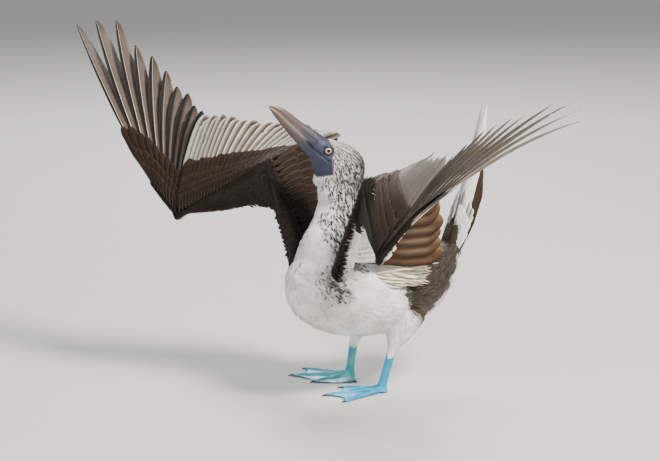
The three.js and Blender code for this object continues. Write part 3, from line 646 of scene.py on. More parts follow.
@dataclass(frozen=True)
class HornFinish:
    """Bill and claws: layered horn with lengthwise streaks and worn, scratched edges."""

    name: str
    roughness: float = 0.36
    streaks: float = 260.0
    stretch: float = 0.12

    def material(self) -> Material:
        """The finish as a material."""
        book = NodeBook(self.name)
        place = book.place()
        kind = "ShaderNodeVectorMath"
        along = book.add(kind, {0: place, 1: tuple(HEAD_FORWARD)}, operation="DOT_PRODUCT").outputs["Value"]
        shorter = tuple(HEAD_FORWARD * (self.stretch - 1))
        back = book.add(kind, {0: shorter, "Scale": along}, operation="SCALE").outputs["Vector"]
        squeezed = book.add(kind, {0: place, 1: back}, operation="ADD").outputs["Vector"]
        grain = book.noise(squeezed, self.streaks, 5.0)
        broad = book.noise(place, 45.0, 3.0)
        tone = book.attribute("tone", "Color")
        worn = book.mix(book.spread(grain, 0.5, 0.8, 0.0, 0.14), tone, tuple(Palette.cream))
        dulled = book.mix(book.spread(broad, 0.4, 0.7, 0.0, 0.18), worn, tuple(Palette.face))
        rough = book.spread(broad, 0.3, 0.7, self.roughness - 0.06, self.roughness + 0.14)
        book.bump(grain, 0.16, 0.0003)
        return book.finish(base_color=dulled, roughness=rough)


@dataclass(frozen=True)
class EyeFinish:
    """The eye: a black pupil in a pale yellow iris, by the stored distance from the eye's axis."""

    name: str
    pupil: float = 2.1
    iris: float = 4.7

    def material(self) -> Material:
        """The finish as a material."""
        book = NodeBook(self.name)
        off = book.math("DIVIDE", book.attribute("off_axis"), Measures.eye_radius)
        spokes = book.noise(book.place(), 1400.0, 2.0)
        rings = book.add("ShaderNodeValToRGB", {"Fac": off})
        stops = (
            (self.pupil, srgb("050505")),
            (self.pupil + 0.35, srgb("9a8d4e")),
            (self.pupil + 0.8, srgb("d8cf93")),
            (self.iris - 0.5, srgb("cfc37c")),
            (self.iris, srgb("3a3426")),
            (self.iris + 0.4, srgb("16130f")),
        )
        bands = rings.color_ramp.elements
        while len(bands) < len(stops):
            bands.new(0.5)
        for band, (distance, colour) in zip(bands, stops):
            band.position = distance / Measures.eye_radius
            band.color = tuple(colour)
        spoked = book.spread(spokes, 0.4, 0.7, 0.0, 0.3)
        tinted = book.mix(spoked, rings.outputs["Color"], tuple(srgb("1a160d")))
        return book.finish(base_color=tinted, roughness=0.06, coat_weight=1.0, coat_roughness=0.02, ior=1.38)


@dataclass(frozen=True)
class FloorFinish:
    """A plain pale studio floor with a faint grain."""

    name: str
    tone: str = "cfccc7"

    def material(self) -> Material:
        """The finish as a material."""
        book = NodeBook(self.name)
        base = srgb(self.tone)
        grain = book.spread(book.noise(book.place(), 40.0, 4.0), 0.3, 0.7, 0.0, 0.12)
        dusty = book.mix(grain, tuple(base), tuple(np.append(base[:3] * 0.9, 1)))
        return book.finish(base_color=dusty, roughness=0.8)


# Layout of the flesh


def rings_between(start: Array, end: Array, rows: list[Triple]) -> list[Ring]:
    """Rings on the line from start to end, each given as its share of the way, half width and half depth."""
    return [Ring(lerp(start, end, share), wide, deep, deep) for share, wide, deep in rows]


TORSO_RINGS = (
    (-146, 184, 0, 0, 0),
    (-139, 183, 27, 26, 30),
    (-121, 179, 48, 46, 51),
    (-90, 169, 64, 62, 64),
    (-48, 154, 72, 67, 68),
    (2, 144, 73, 66, 66),
    (52, 142, 69, 60, 61),
    (96, 149, 60, 51, 54),
    (130, 163, 48, 40, 44),
    (157, 179, 34, 28, 32),
    (174, 193, 22, 18, 20),
    (183, 203, 0, 0, 0),
)
NECK_RINGS = (
    (-84, 182, 58, 52, 52),
    (-78, 220, 46, 46, 46),
    (-63, 262, 35, 37, 37),
    (-51, 303, 31, 36, 34),
    (-46, 334, 29, 33, 32),
    (-45, 352, 20, 22, 22),
)
HEAD_RINGS = (
    (-74, -8, -8, 0),
    (-71, 4, -22, 12),
    (-64, 15, -35, 22),
    (-50, 25.5, -45, 28.5),
    (-34, 28.5, -46, 28),
    (-18, 25.5, -41, 25),
    (-4, 20, -34, 20.5),
    (8, 15, -27.5, 16.5),
    (22, 11, -21.5, 12.5),
)
THROAT_RINGS = (
    (head_point(-14, -22), 7, 9),
    (head_point(-22, -33), 15, 12),
    (np.array((-3.0, -76, 324)), 17, 13),
    (np.array((-1.0, -80, 300)), 15, 11),
    (np.array((0.0, -82, 278)), 8, 6),
)
THIGH_ROWS = [
    (-0.25, 26, 32), (0.1, 27, 34), (0.45, 22, 27), (0.75, 13.5, 16),
    (0.94, 9.6, 10.2), (1.04, 8.8, 9.4), (1.1, 7.4, 8.0),
]
TAIL_BASE = ((-14, 17, 12, 14), (12, 17, 10, 15), (34, 15, 7, 13), (52, 8, 3, 8))
UPPER_ARM_ROWS = [(-0.12, 21, 13), (0.3, 19, 11), (0.75, 14, 9), (1.04, 9, 7)]
FOREARM_ROWS = [(-0.02, 10, 7.5), (0.4, 11, 7.5), (1.06, 8, 5.5)]
HAND_ROWS = [(-0.1, 8, 5.5), (0.5, 7, 4.5), (1.1, 4, 2.6)]
TAIL_RISE = unit(Measures.tail_tip - Measures.tail_root)
TAIL_FACE = np.array((0.0, -TAIL_RISE[2], TAIL_RISE[1]))


@dataclass(frozen=True)
class Leg:
    """One leg's joints and the way its foot points, in degrees towards the bird's left."""

    side: Side
    hip: Array
    hock: Array
    ankle: Array
    turn: float


LEGS = (
    Leg(Side.LEFT, np.array((44.0, 40, 120)), np.array((42.0, 11, 58)), np.array((38.0, -3, 9)), -24),
    Leg(Side.RIGHT, np.array((-44.0, 40, 120)), np.array((-45.0, 14, 60)), np.array((-61.0, 20, 9)), -47),
)


def hand_end(side: Side) -> Array:
    """Where the hand ends, as a left-hand place."""
    reach = lerp(Measures.wrist, PRIMARY_TIPS[-1], Measures.hand_share) + Measures.hand_ahead
    return reach + UP * (side.value * Measures.hand_drop)


PRIMARY_TIPS = np.array((
    (276, -89, 397), (334, -75, 433), (396, -77, 463), (486, -84, 501), (551, -123, 496.0),
))
PRIMARY_SPREAD = np.array((0, 12, 7, -5, -12.0))
SECONDARY_TIPS = np.array(((100, 33, 377), (160, -22, 387), (227, -72, 393), (272, -91, 396.0)))
TERTIAL_TIPS = np.array(((98, 59, 217), (103, 54, 262), (104, 44, 315), (100, 33, 377.0)))


class Region(Enum):
    """Parts of the skin, each with its own cell of the map that colours are baked on."""

    TORSO = (0.0, 0.0, 0.6, 0.6)
    NECK = (0.62, 0.0, 1.0, 0.3)
    HEAD = (0.62, 0.32, 1.0, 0.7)
    RUMP = (0.0, 0.62, 0.18, 0.78)
    THIGH_LEFT = (0.2, 0.62, 0.39, 0.8)
    THIGH_RIGHT = (0.41, 0.62, 0.6, 0.8)
    UPPER_ARM_LEFT = (0.0, 0.82, 0.15, 1.0)
    UPPER_ARM_RIGHT = (0.17, 0.82, 0.32, 1.0)
    FOREARM_LEFT = (0.34, 0.82, 0.49, 1.0)
    FOREARM_RIGHT = (0.51, 0.82, 0.66, 1.0)
    HAND_LEFT = (0.68, 0.82, 0.78, 1.0)
    HAND_RIGHT = (0.8, 0.82, 0.9, 1.0)
    THROAT = (0.62, 0.72, 0.96, 0.8)


WING_REGIONS = {
    Side.LEFT: (Region.UPPER_ARM_LEFT, Region.FOREARM_LEFT, Region.HAND_LEFT),
    Side.RIGHT: (Region.UPPER_ARM_RIGHT, Region.FOREARM_RIGHT, Region.HAND_RIGHT),
}
WING_FACES = ((-0.95, 0, 0.31), (-0.17, -0.81, 0.56), (-0.1, -0.87, 0.5))


@dataclass(frozen=True)
class FleshPart:
    """One limb of the flesh, how far it lies inside its solid, and how finely it is first made."""

    region: Region
    limb: Limb
    inset: float
    steps: int = 60
    sides: int = 48


def flesh_parts() -> list[FleshPart]:
    """Every limb that the skin is made of."""
    torso = Limb([Ring((0, y, z), wide, up, down) for y, z, wide, up, down in TORSO_RINGS], UP)
    neck = Limb([Ring((0, y, z), wide, front, back) for y, z, wide, front, back in NECK_RINGS], FRONT)
    head = Limb(
        [
            Ring(head_point(at, (crown + chin) / 2), wide, (crown - chin) / 2, (crown - chin) / 2)
            for at, crown, chin, wide in HEAD_RINGS
        ],
        HEAD_UP,
    )
    rump = [Ring(Measures.tail_root + TAIL_RISE * run, wide, high, low) for run, wide, high, low in TAIL_BASE]
    throat = [Ring(at, wide, deep, deep) for at, wide, deep in THROAT_RINGS]
    parts = [
        FleshPart(Region.TORSO, torso, 4.0, 90, 72),
        FleshPart(Region.NECK, neck, 3.0, 60, 64),
        FleshPart(Region.HEAD, head, 0.7, 70, 72),
        FleshPart(Region.RUMP, Limb(rump, TAIL_FACE), 2.0),
        FleshPart(Region.THROAT, Limb(throat, FRONT), 1.0),
    ]
    for leg, region in zip(LEGS, (Region.THIGH_LEFT, Region.THIGH_RIGHT)):
        parts.append(FleshPart(region, Limb(rings_between(leg.hip, leg.hock, THIGH_ROWS), FRONT), 2.5))
    for side, regions in WING_REGIONS.items():
        ends = (
            (Measures.shoulder, Measures.elbow, UPPER_ARM_ROWS, 2.5),
            (Measures.elbow, Measures.wrist, FOREARM_ROWS, 1.6),
            (Measures.wrist, hand_end(side), HAND_ROWS, 1.2),
        )
        for region, face, (start, end, rows, inset) in zip(regions, WING_FACES, ends):
            parts.append(FleshPart(region, Limb(rings_between(start, end, rows), face, side), inset, 40, 32))
    return parts


class WingFold:
    """The fold of skin ahead of the elbow, from the shoulder to the wrist."""

    edge = np.array((101.0, -102.0, 274.0))
    thick = 4.6
    bulge = 14.0
    rows = 14
    columns = 60

    def front(self, t: Array) -> Array:
        """The free leading edge."""
        shoulder, elbow, wrist = Measures.shoulder, Measures.elbow, Measures.wrist
        outer = (lerp(self.edge, wrist, 0.55), lerp(self.edge, wrist, 0.97))
        keys = (lerp(shoulder, elbow, 0.05), self.edge, *outer)
        return on_curve(np.array(keys), t)

    def back(self, t: Array) -> Array:
        """The line along the arm that it leaves from."""
        shoulder, elbow, wrist = Measures.shoulder, Measures.elbow, Measures.wrist
        upper = (lerp(shoulder, elbow, 0.1), lerp(shoulder, elbow, 0.95))
        keys = (*upper, lerp(elbow, wrist, 0.4), lerp(elbow, wrist, 0.97))
        return on_curve(np.array(keys), t)

    def shell(self, side: Side) -> Shell:
        """The fold as a closed sheet with a rounded edge."""
        t = np.linspace(0, 1, self.columns)
        edge, arm = self.front(t), self.back(t)
        run = self.front(np.minimum(t + 0.05, 1)) - self.front(np.maximum(t - 0.05, 0))
        normal = unit(np.cross(run, arm - edge))
        share = np.linspace(0, 1, self.rows)[:, None, None]
        middle = lerp(edge[None], arm[None], share) + normal[None] * (self.bulge * share * (1 - share))
        half = normal[None] * (self.thick / 2) * np.sqrt(np.minimum(1, share * 8 + 0.1))
        return sheet(mirrored(middle + half, side), mirrored(middle - half, side))


# Lie, length and markings of the coat


@dataclass(frozen=True)
class Tract:
    """A place on the bird: the way its small feathers lie there and how long they are."""

    at: Array
    lie: Array
    length: float
    weight: float = 1.0


HEAD_TRACTS = (
    ((20, 9, 0), (1, 0), 3.0),
    ((4, -31, 0), (0.8, 0.5), 3.6),
    ((-25, 28, 0), (0.95, 0.2), 6.0),
    ((-25, -10, 27), (0.8, 0.5), 6.5),
    ((-25, -10, -27), (0.8, 0.5), 6.5),
    ((-66, 10, 0), (0.3, 0.95), 9.0),
)
MIDDLE_TRACTS = (
    ((0, -20, 330), (0, -0.05, -1), 11.0),
    ((0, -85, 320), (0, 0.12, -1), 8.0),
    ((0, -98, 262), (0, -0.3, -1), 10.0),
    ((0, -22, 262), (0, 0.1, -1), 13.0),
    ((0, -132, 215), (0, -0.25, -1), 12.0),
    ((0, -145, 180), (0, 0.25, -1), 13.0),
    ((0, -110, 120), (0, 0.9, -0.6), 15.0),
    ((0, 0, 78), (0, 1, 0), 16.0),
    ((0, 100, 98), (0, 0.95, 0.35), 17.0),
    ((0, 160, 150), (0, 0.55, 0.85), 16.0),
    ((0, -30, 222), (0, 1, -0.25), 16.0),
    ((0, 60, 200), (0, 1, 0), 18.0),
    ((0, 140, 205), (0, 0.75, 0.65), 16.0),
    ((0, 185, 235), tuple(TAIL_RISE), 12.0),
)
SIDE_TRACTS = (
    ((40, -80, 235), (0.25, 0.3, -1), 12.0),
    ((66, -110, 165), (0.1, 0.9, -0.5), 14.0),
    ((74, -20, 150), (0, 1, -0.12), 16.0),
    ((68, 60, 145), (0, 1, 0.05), 17.0),
    ((52, 120, 160), (-0.2, 0.9, 0.45), 17.0),
)


def coat_tracts() -> list[Tract]:
    """The places between which the coat's lie and length change smoothly."""
    tracts = [
        Tract(head_point(*at), -HEAD_FORWARD * back - HEAD_UP * down, length)
        for at, (back, down), length in HEAD_TRACTS
    ]
    tracts += [Tract(np.array(at, float), np.array(lie, float), length) for at, lie, length in MIDDLE_TRACTS]
    for side in Side:
        for at, lie, length in SIDE_TRACTS:
            tracts.append(Tract(mirrored(np.array(at), side), mirrored(np.array(lie), side), length))
        for start, end, tip, length in (
            (Measures.shoulder, Measures.elbow, TERTIAL_TIPS[1], 9.0),
            (Measures.elbow, Measures.wrist, SECONDARY_TIPS[2], 8.0),
            (Measures.wrist, hand_end(side), PRIMARY_TIPS[3], 7.0),
        ):
            for share in (0.25, 0.6, 0.95):
                at = lerp(start, end, share)
                tracts.append(Tract(mirrored(at, side), mirrored(unit(tip - at), side), length, 3.0))
    for leg in LEGS:
        run = unit(leg.hock - leg.hip)
        for share in (0.45, 0.9):
            tracts.append(Tract(lerp(leg.hip, leg.hock, share), run, 13.0 - 6 * share, 1.6))
    return tracts


def coat_lie(points: Array, normals: Array) -> tuple[Array, Array]:
    """The way the coat lies at each point, along the surface, and its length in millimetres."""
    tracts = coat_tracts()
    spots = np.array([tract.at for tract in tracts])
    gap = np.linalg.norm(points[:, None] - spots[None], axis=2)
    weight = np.array([tract.weight for tract in tracts]) / (gap**2 + 60.0) ** 1.6
    weight /= weight.sum(axis=1, keepdims=True)
    lie = weight @ np.array([unit(tract.lie) for tract in tracts])
    lie -= normals * dots(lie, normals)[:, None]
    return unit(lie), weight @ np.array([tract.length for tract in tracts])


def soft_noise(points: Array, size: float, seed: int) -> Array:
    """Smooth noise from -1 to 1 over places, made of a few sine waves of about the given size."""
    draw = np.random.default_rng(seed)
    total = np.zeros(len(points))
    for _ in range(7):
        way = unit(draw.normal(size=3)) * (2 * math.pi / (size * draw.uniform(0.6, 1.6)))
        total += np.sin(points @ way + draw.uniform(0, 6.3))
    return total / 2.6


def spot(points: Array, at: Triple, reach: Triple) -> Array:
    """A soft spot on each side of the front of the bird, at a place given for the left side."""
    off = (np.abs(points) - np.array(at)) / np.array(reach)
    return np.exp(-(off**2).sum(axis=1)) * (points[:, 1] < 0)


@dataclass
class Markings:
    """Plain tone, strength of the dark streak of each feather, and strength of the pale edge, at places."""

    tone: Array
    streak: Array
    edge: Array


def coat_markings(points: Array, normals: Array, wing: Array) -> Markings:
    """The bird's markings, which the skin and the coat share, with painted shade on the lower front of the
    breast.

    Args:
        points: Places in the working frame.
        normals: The surface's directions there.
        wing: 1 on the dark upper side of the wings, 0 elsewhere.

    Returns:
        The markings, one a point.
    """
    x, y, z = points.T
    ahead, above, _ = from_eyes(points)
    wobble = soft_noise(points, 26, SEED) * 0.16
    body = 1 - wing
    heading = unit(lerp(FRONT, HEADING, ramp(z, 240, 340)[:, None]))
    facing = dots(normals, heading)
    begins = lerp(0.62, 0.95, ramp(z, 205, 275))
    nape = 1 - 0.9 * ramp(y, -62, -40) * ramp(-z, -250, -230)
    streak = ramp(z, 170, 200) * ramp(begins - facing + wobble, 0.0, 0.35) * nape
    streak = streak * (1 - ramp(np.abs(x), 52, 62) * (z < 300))
    on_head = ramp(ahead, -70, -40) * ramp(z, 318, 345)
    cheek = np.exp(-(((ahead + 24) / 7) ** 2 + ((above + 24) / 9) ** 2))
    chin = np.clip(ramp(-above, 30, 42) * ramp(ahead, -58, -24) + cheek, 0, 1)
    crown = ramp(above + 0.25 * ahead, 8, 16)
    streak = lerp(streak, (1 - 0.85 * chin) * (1 - 0.55 * crown), on_head) * body
    centre = np.interp(y, [row[0] for row in TORSO_RINGS], [row[1] for row in TORSO_RINGS])
    mantle = ramp(z - centre, 18, 34) * ramp(44 - np.abs(x) + wobble * 30, 0, 16) * ramp(y, -75, -25)
    patch = np.exp(-((x / 26) ** 2 + ((y + 8) / 30) ** 2)) * ramp(z, 180, 200)
    low = np.interp(y, (0, 28, 55, 88, 125, 165), (164, 120, 103, 116, 143, 178))
    rear = ramp(y + wobble * 30, -2, 20) * ramp(z - low + wobble * 30, -4, 8)
    collar = spot(points, (46, 111, 186), (17, 16, 24))
    smudge = spot(points, (60, 95, 168), (10, 9, 13))
    streak = np.maximum(streak, np.clip(1.2 * collar, 0, 1))
    mottled = np.clip(soft_noise(points, 11, SEED + 1) * 0.6 + 0.5, 0, 1)
    dusky = (0.9 * collar + 0.8 * smudge) * (0.3 + 0.7 * mottled)
    back = np.clip(np.maximum(mantle * (1 - 0.85 * patch), rear) + dusky, 0, 1) * body
    brown = blend(Palette.dark, Palette.mottle, mottled)
    # Painted shade: the lower front of the breast is tinted pinkish grey for shade and reflected light, not a
    # colour of the feathers.
    painted_chest_shade = ramp(-y, 70, 130) * ramp(200 - z, 0, 50) * (1 - ramp(np.abs(x), 30, 70))
    white = blend(Palette.white, Palette.shade, 0.3 + 0.3 * soft_noise(points, 40, SEED + 2))
    white = blend(white, Palette.blush, 0.85 * chin * on_head + 0.3 * painted_chest_shade)
    tone = blend(white, brown, back)
    return Markings(blend(tone, Palette.dark, wing), np.clip(streak, 0, 1), back * 0.16)


@dataclass
class Face:
    """The bare face: where its edge lies behind the bill, and how far feathers grow up to it."""

    edge_keys: tuple[Pair, ...] = (
        (-37.5, -16), (-22, -27), (-15, -19.5), (-7, -12), (4, -5), (9, -1), (14, 6),
    )
    soft: float = 1.6

    def bareness(self, points: Array) -> Array:
        """1 on the bare skin round the bill, eye and throat, 0 on the feathered head."""
        ahead, above, out = from_eyes(points)
        heights, edges = np.array(self.edge_keys).T
        limit = np.interp(above, heights, edges)
        bare = ramp(ahead - limit, -self.soft, self.soft) * ramp(ahead, -30, -24)
        ring = 1 - ramp(np.hypot(ahead, above), 8.0, 9.6)
        return np.maximum(bare, ring * ramp(np.abs(out), 6, 10))


# The skin


@dataclass
class Skin:
    """One skin over all the flesh, with the coat's lie, length and markings stored on it."""

    voxel: float = 1.8
    smoothing: int = 14
    gape_depth: float = 1.6
    breast_ends: float = -20.0
    plumage_depth: float = 1.6

    def build(self, finish: SkinFinish) -> Piece:
        """Makes the skin.

        Args:
            finish: What the skin is finished in.

        Returns:
            The skin, which stands for the flesh of the torso, neck, head and thighs.
        """
        parts = flesh_parts()
        shells = [Shell(shell.points, shell.faces) for shell in
                  (part.limb.shell(part.steps, part.sides, -part.inset) for part in parts)]
        shells += [WingFold().shell(side) for side in Side]
        rough = Shell.joined(shells).to_object("rough_flesh", None)
        remesh = rough.modifiers.new("fuse", "REMESH")
        remesh.mode = "VOXEL"
        remesh.voxel_size = self.voxel * MM
        smooth = rough.modifiers.new("soften", "SMOOTH")
        smooth.factor = 0.5
        smooth.iterations = self.smoothing
        skin = applied(rough, "skin")
        self.shape_face(skin.data)
        self.mark(skin.data, parts)
        skin.data.materials.clear()
        skin.data.materials.append(finish.material())
        skin.data.shade_smooth()
        return skin

    def shape_face(self, mesh: Mesh) -> None:
        """Sinks the line of the mouth and the eye's socket into the skin."""
        points = read_points(mesh)
        ahead, above, out = from_eyes(points)
        sink = self.gape_depth * gape_line(ahead, above)
        socket = np.exp(-((np.hypot(ahead, above) / 9.5) ** 6)) * ramp(np.abs(out), 8, 12)
        cheek = 0.8 * np.exp(-(((ahead - 4) / 9) ** 2 + ((above + 20) / 5) ** 2)) * ramp(np.abs(out), 5, 9)
        points -= HEAD_LEFT * (np.sign(out) * (sink + 1.6 * socket - cheek))[:, None]
        feathered = (1 - Face().bareness(points)) * ramp(points[:, 2], 285, 336) * (1 - ramp(ahead, 2, 8))
        points += read_normals(mesh) * (self.plumage_depth * feathered)[:, None]
        mesh.vertices.foreach_set("co", (points * MM + SHIFT).astype(np.float32).ravel())
        mesh.update()

    def mark(self, mesh: Mesh, parts: list[FleshPart]) -> None:
        """Stores lie, length, cover and tone on the skin's points, and its bake map."""
        points, normals = read_points(mesh), read_normals(mesh)
        region = nearest_region(points, parts)
        names = np.array([part.region.name for part in parts])[region]
        wing, dorsal = wing_cover(points, normals, names)
        lie, length = coat_lie(points, normals)
        marks = coat_markings(points, normals, wing * dorsal)
        ahead, above, _ = from_eyes(points)
        bare = Face().bareness(points) * (names == "HEAD")
        face = blend(Palette.face, srgb("5f5464"), 0.7 * ramp(-above, 14, 30) * ramp(ahead, -12, 14))
        # Painted shade: the sunken crease of the mouth is darkened almost to black.
        face = blend(face, srgb("17171c"), 0.9 * gape_line(ahead, above, 0.8))
        plain = blend(marks.tone, Palette.streak, 0.5 * marks.streak)
        tone = blend(plain, face, bare)
        covered = 1 - ramp(bare, 0.2, 0.6)
        on_head = (names == "HEAD").astype(float)
        on_neck = np.isin(names, ("NECK", "THROAT")).astype(float)
        on_wing = wing * (1 - on_head) * (1 - on_neck)
        on_thigh = np.isin(names, ("THIGH_LEFT", "THIGH_RIGHT")).astype(float) * (1 - on_wing)
        rest = (1 - on_head) * (1 - on_neck) * (1 - on_wing) * (1 - on_thigh)
        in_front = points[:, 1] < self.breast_ends
        stored = {
            "tone": tone, "coat_tone": marks.tone, "lie": lie, "size": length * MM,
            "streak": marks.streak, "edge": marks.edge,
            "cover_head": covered * on_head, "cover_neck": on_neck, "cover_wings": on_wing,
            "cover_thighs": on_thigh, "cover_breast": rest * in_front, "cover_rear": rest * ~in_front,
        }
        for name, value in stored.items():
            write_value(mesh, name, value)
        self.unwrap(mesh, points, parts, region)

    def unwrap(self, mesh: Mesh, points: Array, parts: list[FleshPart], region: Array) -> None:
        """Unrolls each part of the skin round its own limb into its cell of the bake map."""
        corners = corner_points(mesh)
        sizes = np.empty(len(mesh.polygons), np.int32)
        mesh.polygons.foreach_get("loop_total", sizes)
        starts = np.repeat(np.cumsum(sizes) - sizes, sizes)
        face_region = region[corners[starts]]
        places = np.zeros((len(corners), 2))
        for index, part in enumerate(parts):
            mine = np.flatnonzero(face_region == index)
            if not len(mine):
                continue
            run, turn, _ = locate(part, points[corners[mine]])
            _, first, _ = locate(part, points[corners[starts[mine]]])
            turn = np.where(turn - first > math.pi, turn - 2 * math.pi, turn)
            turn = np.where(first - turn > math.pi, turn + 2 * math.pi, turn)
            share = np.clip(turn / (2 * math.pi), -0.02, 1.02) * 0.96 + 0.02
            places[mine] = Cell(*part.region.value).at(share, run)
        write_bake_map(mesh, places)


def locate(part: FleshPart, points: Array) -> tuple[Array, Array, Array]:
    """Where points lie on a limb.

    Args:
        part: The limb.
        points: Places in the working frame.

    Returns:
        Place along it and round it, and how far outside its surface the points are.
    """
    limb = part.limb
    local = mirrored(points, limb.side)
    samples = np.linspace(0, 1, 80)
    centre, run, _, _ = limb.axes(samples)
    gap = (centre**2).sum(1)[None] - 2 * local @ centre.T
    nearest = np.argmin(gap, axis=1)
    speed = np.linalg.norm(np.gradient(centre, samples, axis=0), axis=1)
    ahead = dots(local - centre[nearest], run[nearest])
    t = np.clip(samples[nearest] + ahead / np.maximum(speed[nearest], 1e-6), 0, 1)
    centre, run, sideways, up = limb.axes(t)
    spans = np.maximum(on_curve(limb.spans, t, even=True), 0.5)
    off = local - centre
    right, high = dots(off, sideways), dots(off, up)
    tall = np.where(high > 0, spans[:, 1], spans[:, 2])
    ratio = np.hypot(right / spans[:, 0], high / tall)
    beyond = np.abs(dots(off, run))
    turn = np.arctan2(high / tall, right / spans[:, 0]) % (2 * math.pi)
    return t, turn, (ratio - 1) * np.minimum(spans[:, 0], tall) + beyond


def nearest_region(points: Array, parts: list[FleshPart]) -> Array:
    """The index of the limb whose surface lies nearest to each point."""
    gaps = np.array([np.abs(locate(part, points)[2] + part.inset) for part in parts])
    return np.argmin(gaps, axis=0)


def gape_line(ahead: Array, above: Array, half_width: float = 1.3) -> Array:
    """1 on the crease of the mouth behind the bill's horn, 0 away from it."""
    near = np.exp(-(((above + 11.4) / half_width) ** 2))
    return near * ramp(ahead, -13, -9) * (1 - ramp(ahead, 30, 34))


def wing_cover(points: Array, normals: Array, names: Array) -> tuple[Array, Array]:
    """How much points belong to the wings, and how much they face as a wing's upper side does.

    Args:
        points: Places in the working frame.
        normals: The surface's directions there.
        names: The name of each point's region.

    Returns:
        Both shares, one a point.
    """
    wing = np.zeros(len(points))
    dorsal = np.ones(len(points))
    for side, regions in WING_REGIONS.items():
        tree = KDTree(WingFold.rows * WingFold.columns * 2)
        for index, point in enumerate(WingFold().shell(side).points):
            tree.insert(point, index)
        tree.balance()
        for index in np.flatnonzero(points[:, 0] * side.value > 44):
            wing[index] = tree.find(points[index])[2] < 4.0
        for region, face in zip(regions, WING_FACES):
            mine = names == region.name
            wing[mine] = 1.0
            facing = normals[mine] @ mirrored(unit(np.array(face, float)), side)
            leading = np.clip(-normals[mine, 1], 0, 1) * (region is regions[0])
            dorsal[mine] = ramp(facing + 1.1 * leading, -0.42, 0.12)
    return wing, dorsal


# Geometry node trees


class GeometryTree(NodeTree):
    """A geometry node tree with named inputs, which ends in realized instances with their material set."""

    def __init__(self, name: str, inputs: dict[str, str]) -> None:
        """Opens a tree; inputs gives the kind of socket of each named input."""
        super().__init__(bpy.data.node_groups.new(name, "GeometryNodeTree"))
        face = self.tree.interface
        face.new_socket("Geometry", in_out="OUTPUT", socket_type="NodeSocketGeometry")
        face.new_socket("Base", in_out="INPUT", socket_type="NodeSocketGeometry")
        kinds = inputs | {"Seed": "Int", "Material": "Material"}
        self.sockets = {
            key: face.new_socket(key, in_out="INPUT", socket_type=f"NodeSocket{kind}").identifier
            for key, kind in kinds.items()
        }
        self.given = self.add("NodeGroupInput").outputs

    def named(self, name: str, data_type: str = "FLOAT_VECTOR") -> Socket:
        """A stored value of the base."""
        made = self.add("GeometryNodeInputNamedAttribute", {"Name": name}, data_type=data_type)
        return next(socket for socket in made.outputs if socket.enabled)

    def stored(self, base: Socket, name: str, value: Socket) -> Socket:
        """Stores a vector on the points under a name."""
        feeds = {"Geometry": base, "Name": name}
        made = self.add("GeometryNodeStoreNamedAttribute", feeds, data_type="FLOAT_VECTOR", domain="POINT")
        self.feed(value, next(socket for socket in made.inputs if socket.name == "Value" and socket.enabled))
        return made.outputs["Geometry"]

    def chance(self, low: float, high: float, offset: int) -> Socket:
        """A random number for each instance, drawn from the seed plus an offset."""
        seed = self.math("ADD", self.given["Seed"], float(offset))
        made = self.add("FunctionNodeRandomValue", {"Seed": seed}, data_type="FLOAT")
        floats = [socket for socket in made.inputs if socket.type == "VALUE" and socket.enabled]
        floats[0].default_value, floats[1].default_value = low, high
        return next(socket for socket in made.outputs if socket.enabled)

    def aligned(self, outward: Socket, along: Socket) -> Socket:
        """A rotation that stands an instance outwards and turns its length along the lie."""
        kind = "FunctionNodeAlignRotationToVector"
        stand = self.add(kind, {"Vector": outward}, axis="Z")
        feeds = {"Rotation": stand.outputs["Rotation"], "Vector": along}
        return self.add(kind, feeds, axis="Y", pivot_axis="Z").outputs["Rotation"]

    def finish(self, instances: Socket) -> None:
        """Realizes the instances and sets their material."""
        real = self.add("GeometryNodeRealizeInstances", {"Geometry": instances}).outputs["Geometry"]
        feeds = {"Geometry": real, "Material": self.given["Material"]}
        finished = self.add("GeometryNodeSetMaterial", feeds).outputs["Geometry"]
        self.add("NodeGroupOutput", {"Geometry": finished})

    def apply(self, base: Piece, name: str, values: dict[str, object]) -> Piece:
        """Runs the tree on an object.

        Args:
            base: The object, which is used up.
            name: The name of the piece that comes out.
            values: The tree's inputs; a text is the name of the stored value that the input reads.

        Returns:
            The piece as a plain mesh.
        """
        nodes = base.modifiers.new(name, "NODES")
        nodes.node_group = self.tree
        for key, value in values.items():
            if isinstance(value, str):
                nodes[f"{self.sockets[key]}_use_attribute"] = True
                nodes[f"{self.sockets[key]}_attribute_name"] = value
            else:
                nodes[self.sockets[key]] = value
        made = applied(base, name)
        made.data.materials.clear()
        made.data.materials.append(values["Material"])
        made.data.polygons.foreach_set("material_index", np.zeros(len(made.data.polygons), np.int32))
        return made


def template(name: str, shell: Shell, home: bpy.types.Collection | None = None) -> Piece:
    """A unit shape for trees to copy, kept in a collection of its own where one is given."""
    return placed(name, shell.to_mesh(name, shell.points), home)


def discard(*objects: Piece) -> None:
    """Removes templates with their meshes."""
    for made in objects:
        mesh = made.data
        bpy.data.objects.remove(made)
        bpy.data.meshes.remove(mesh)


# The coat of small feathers


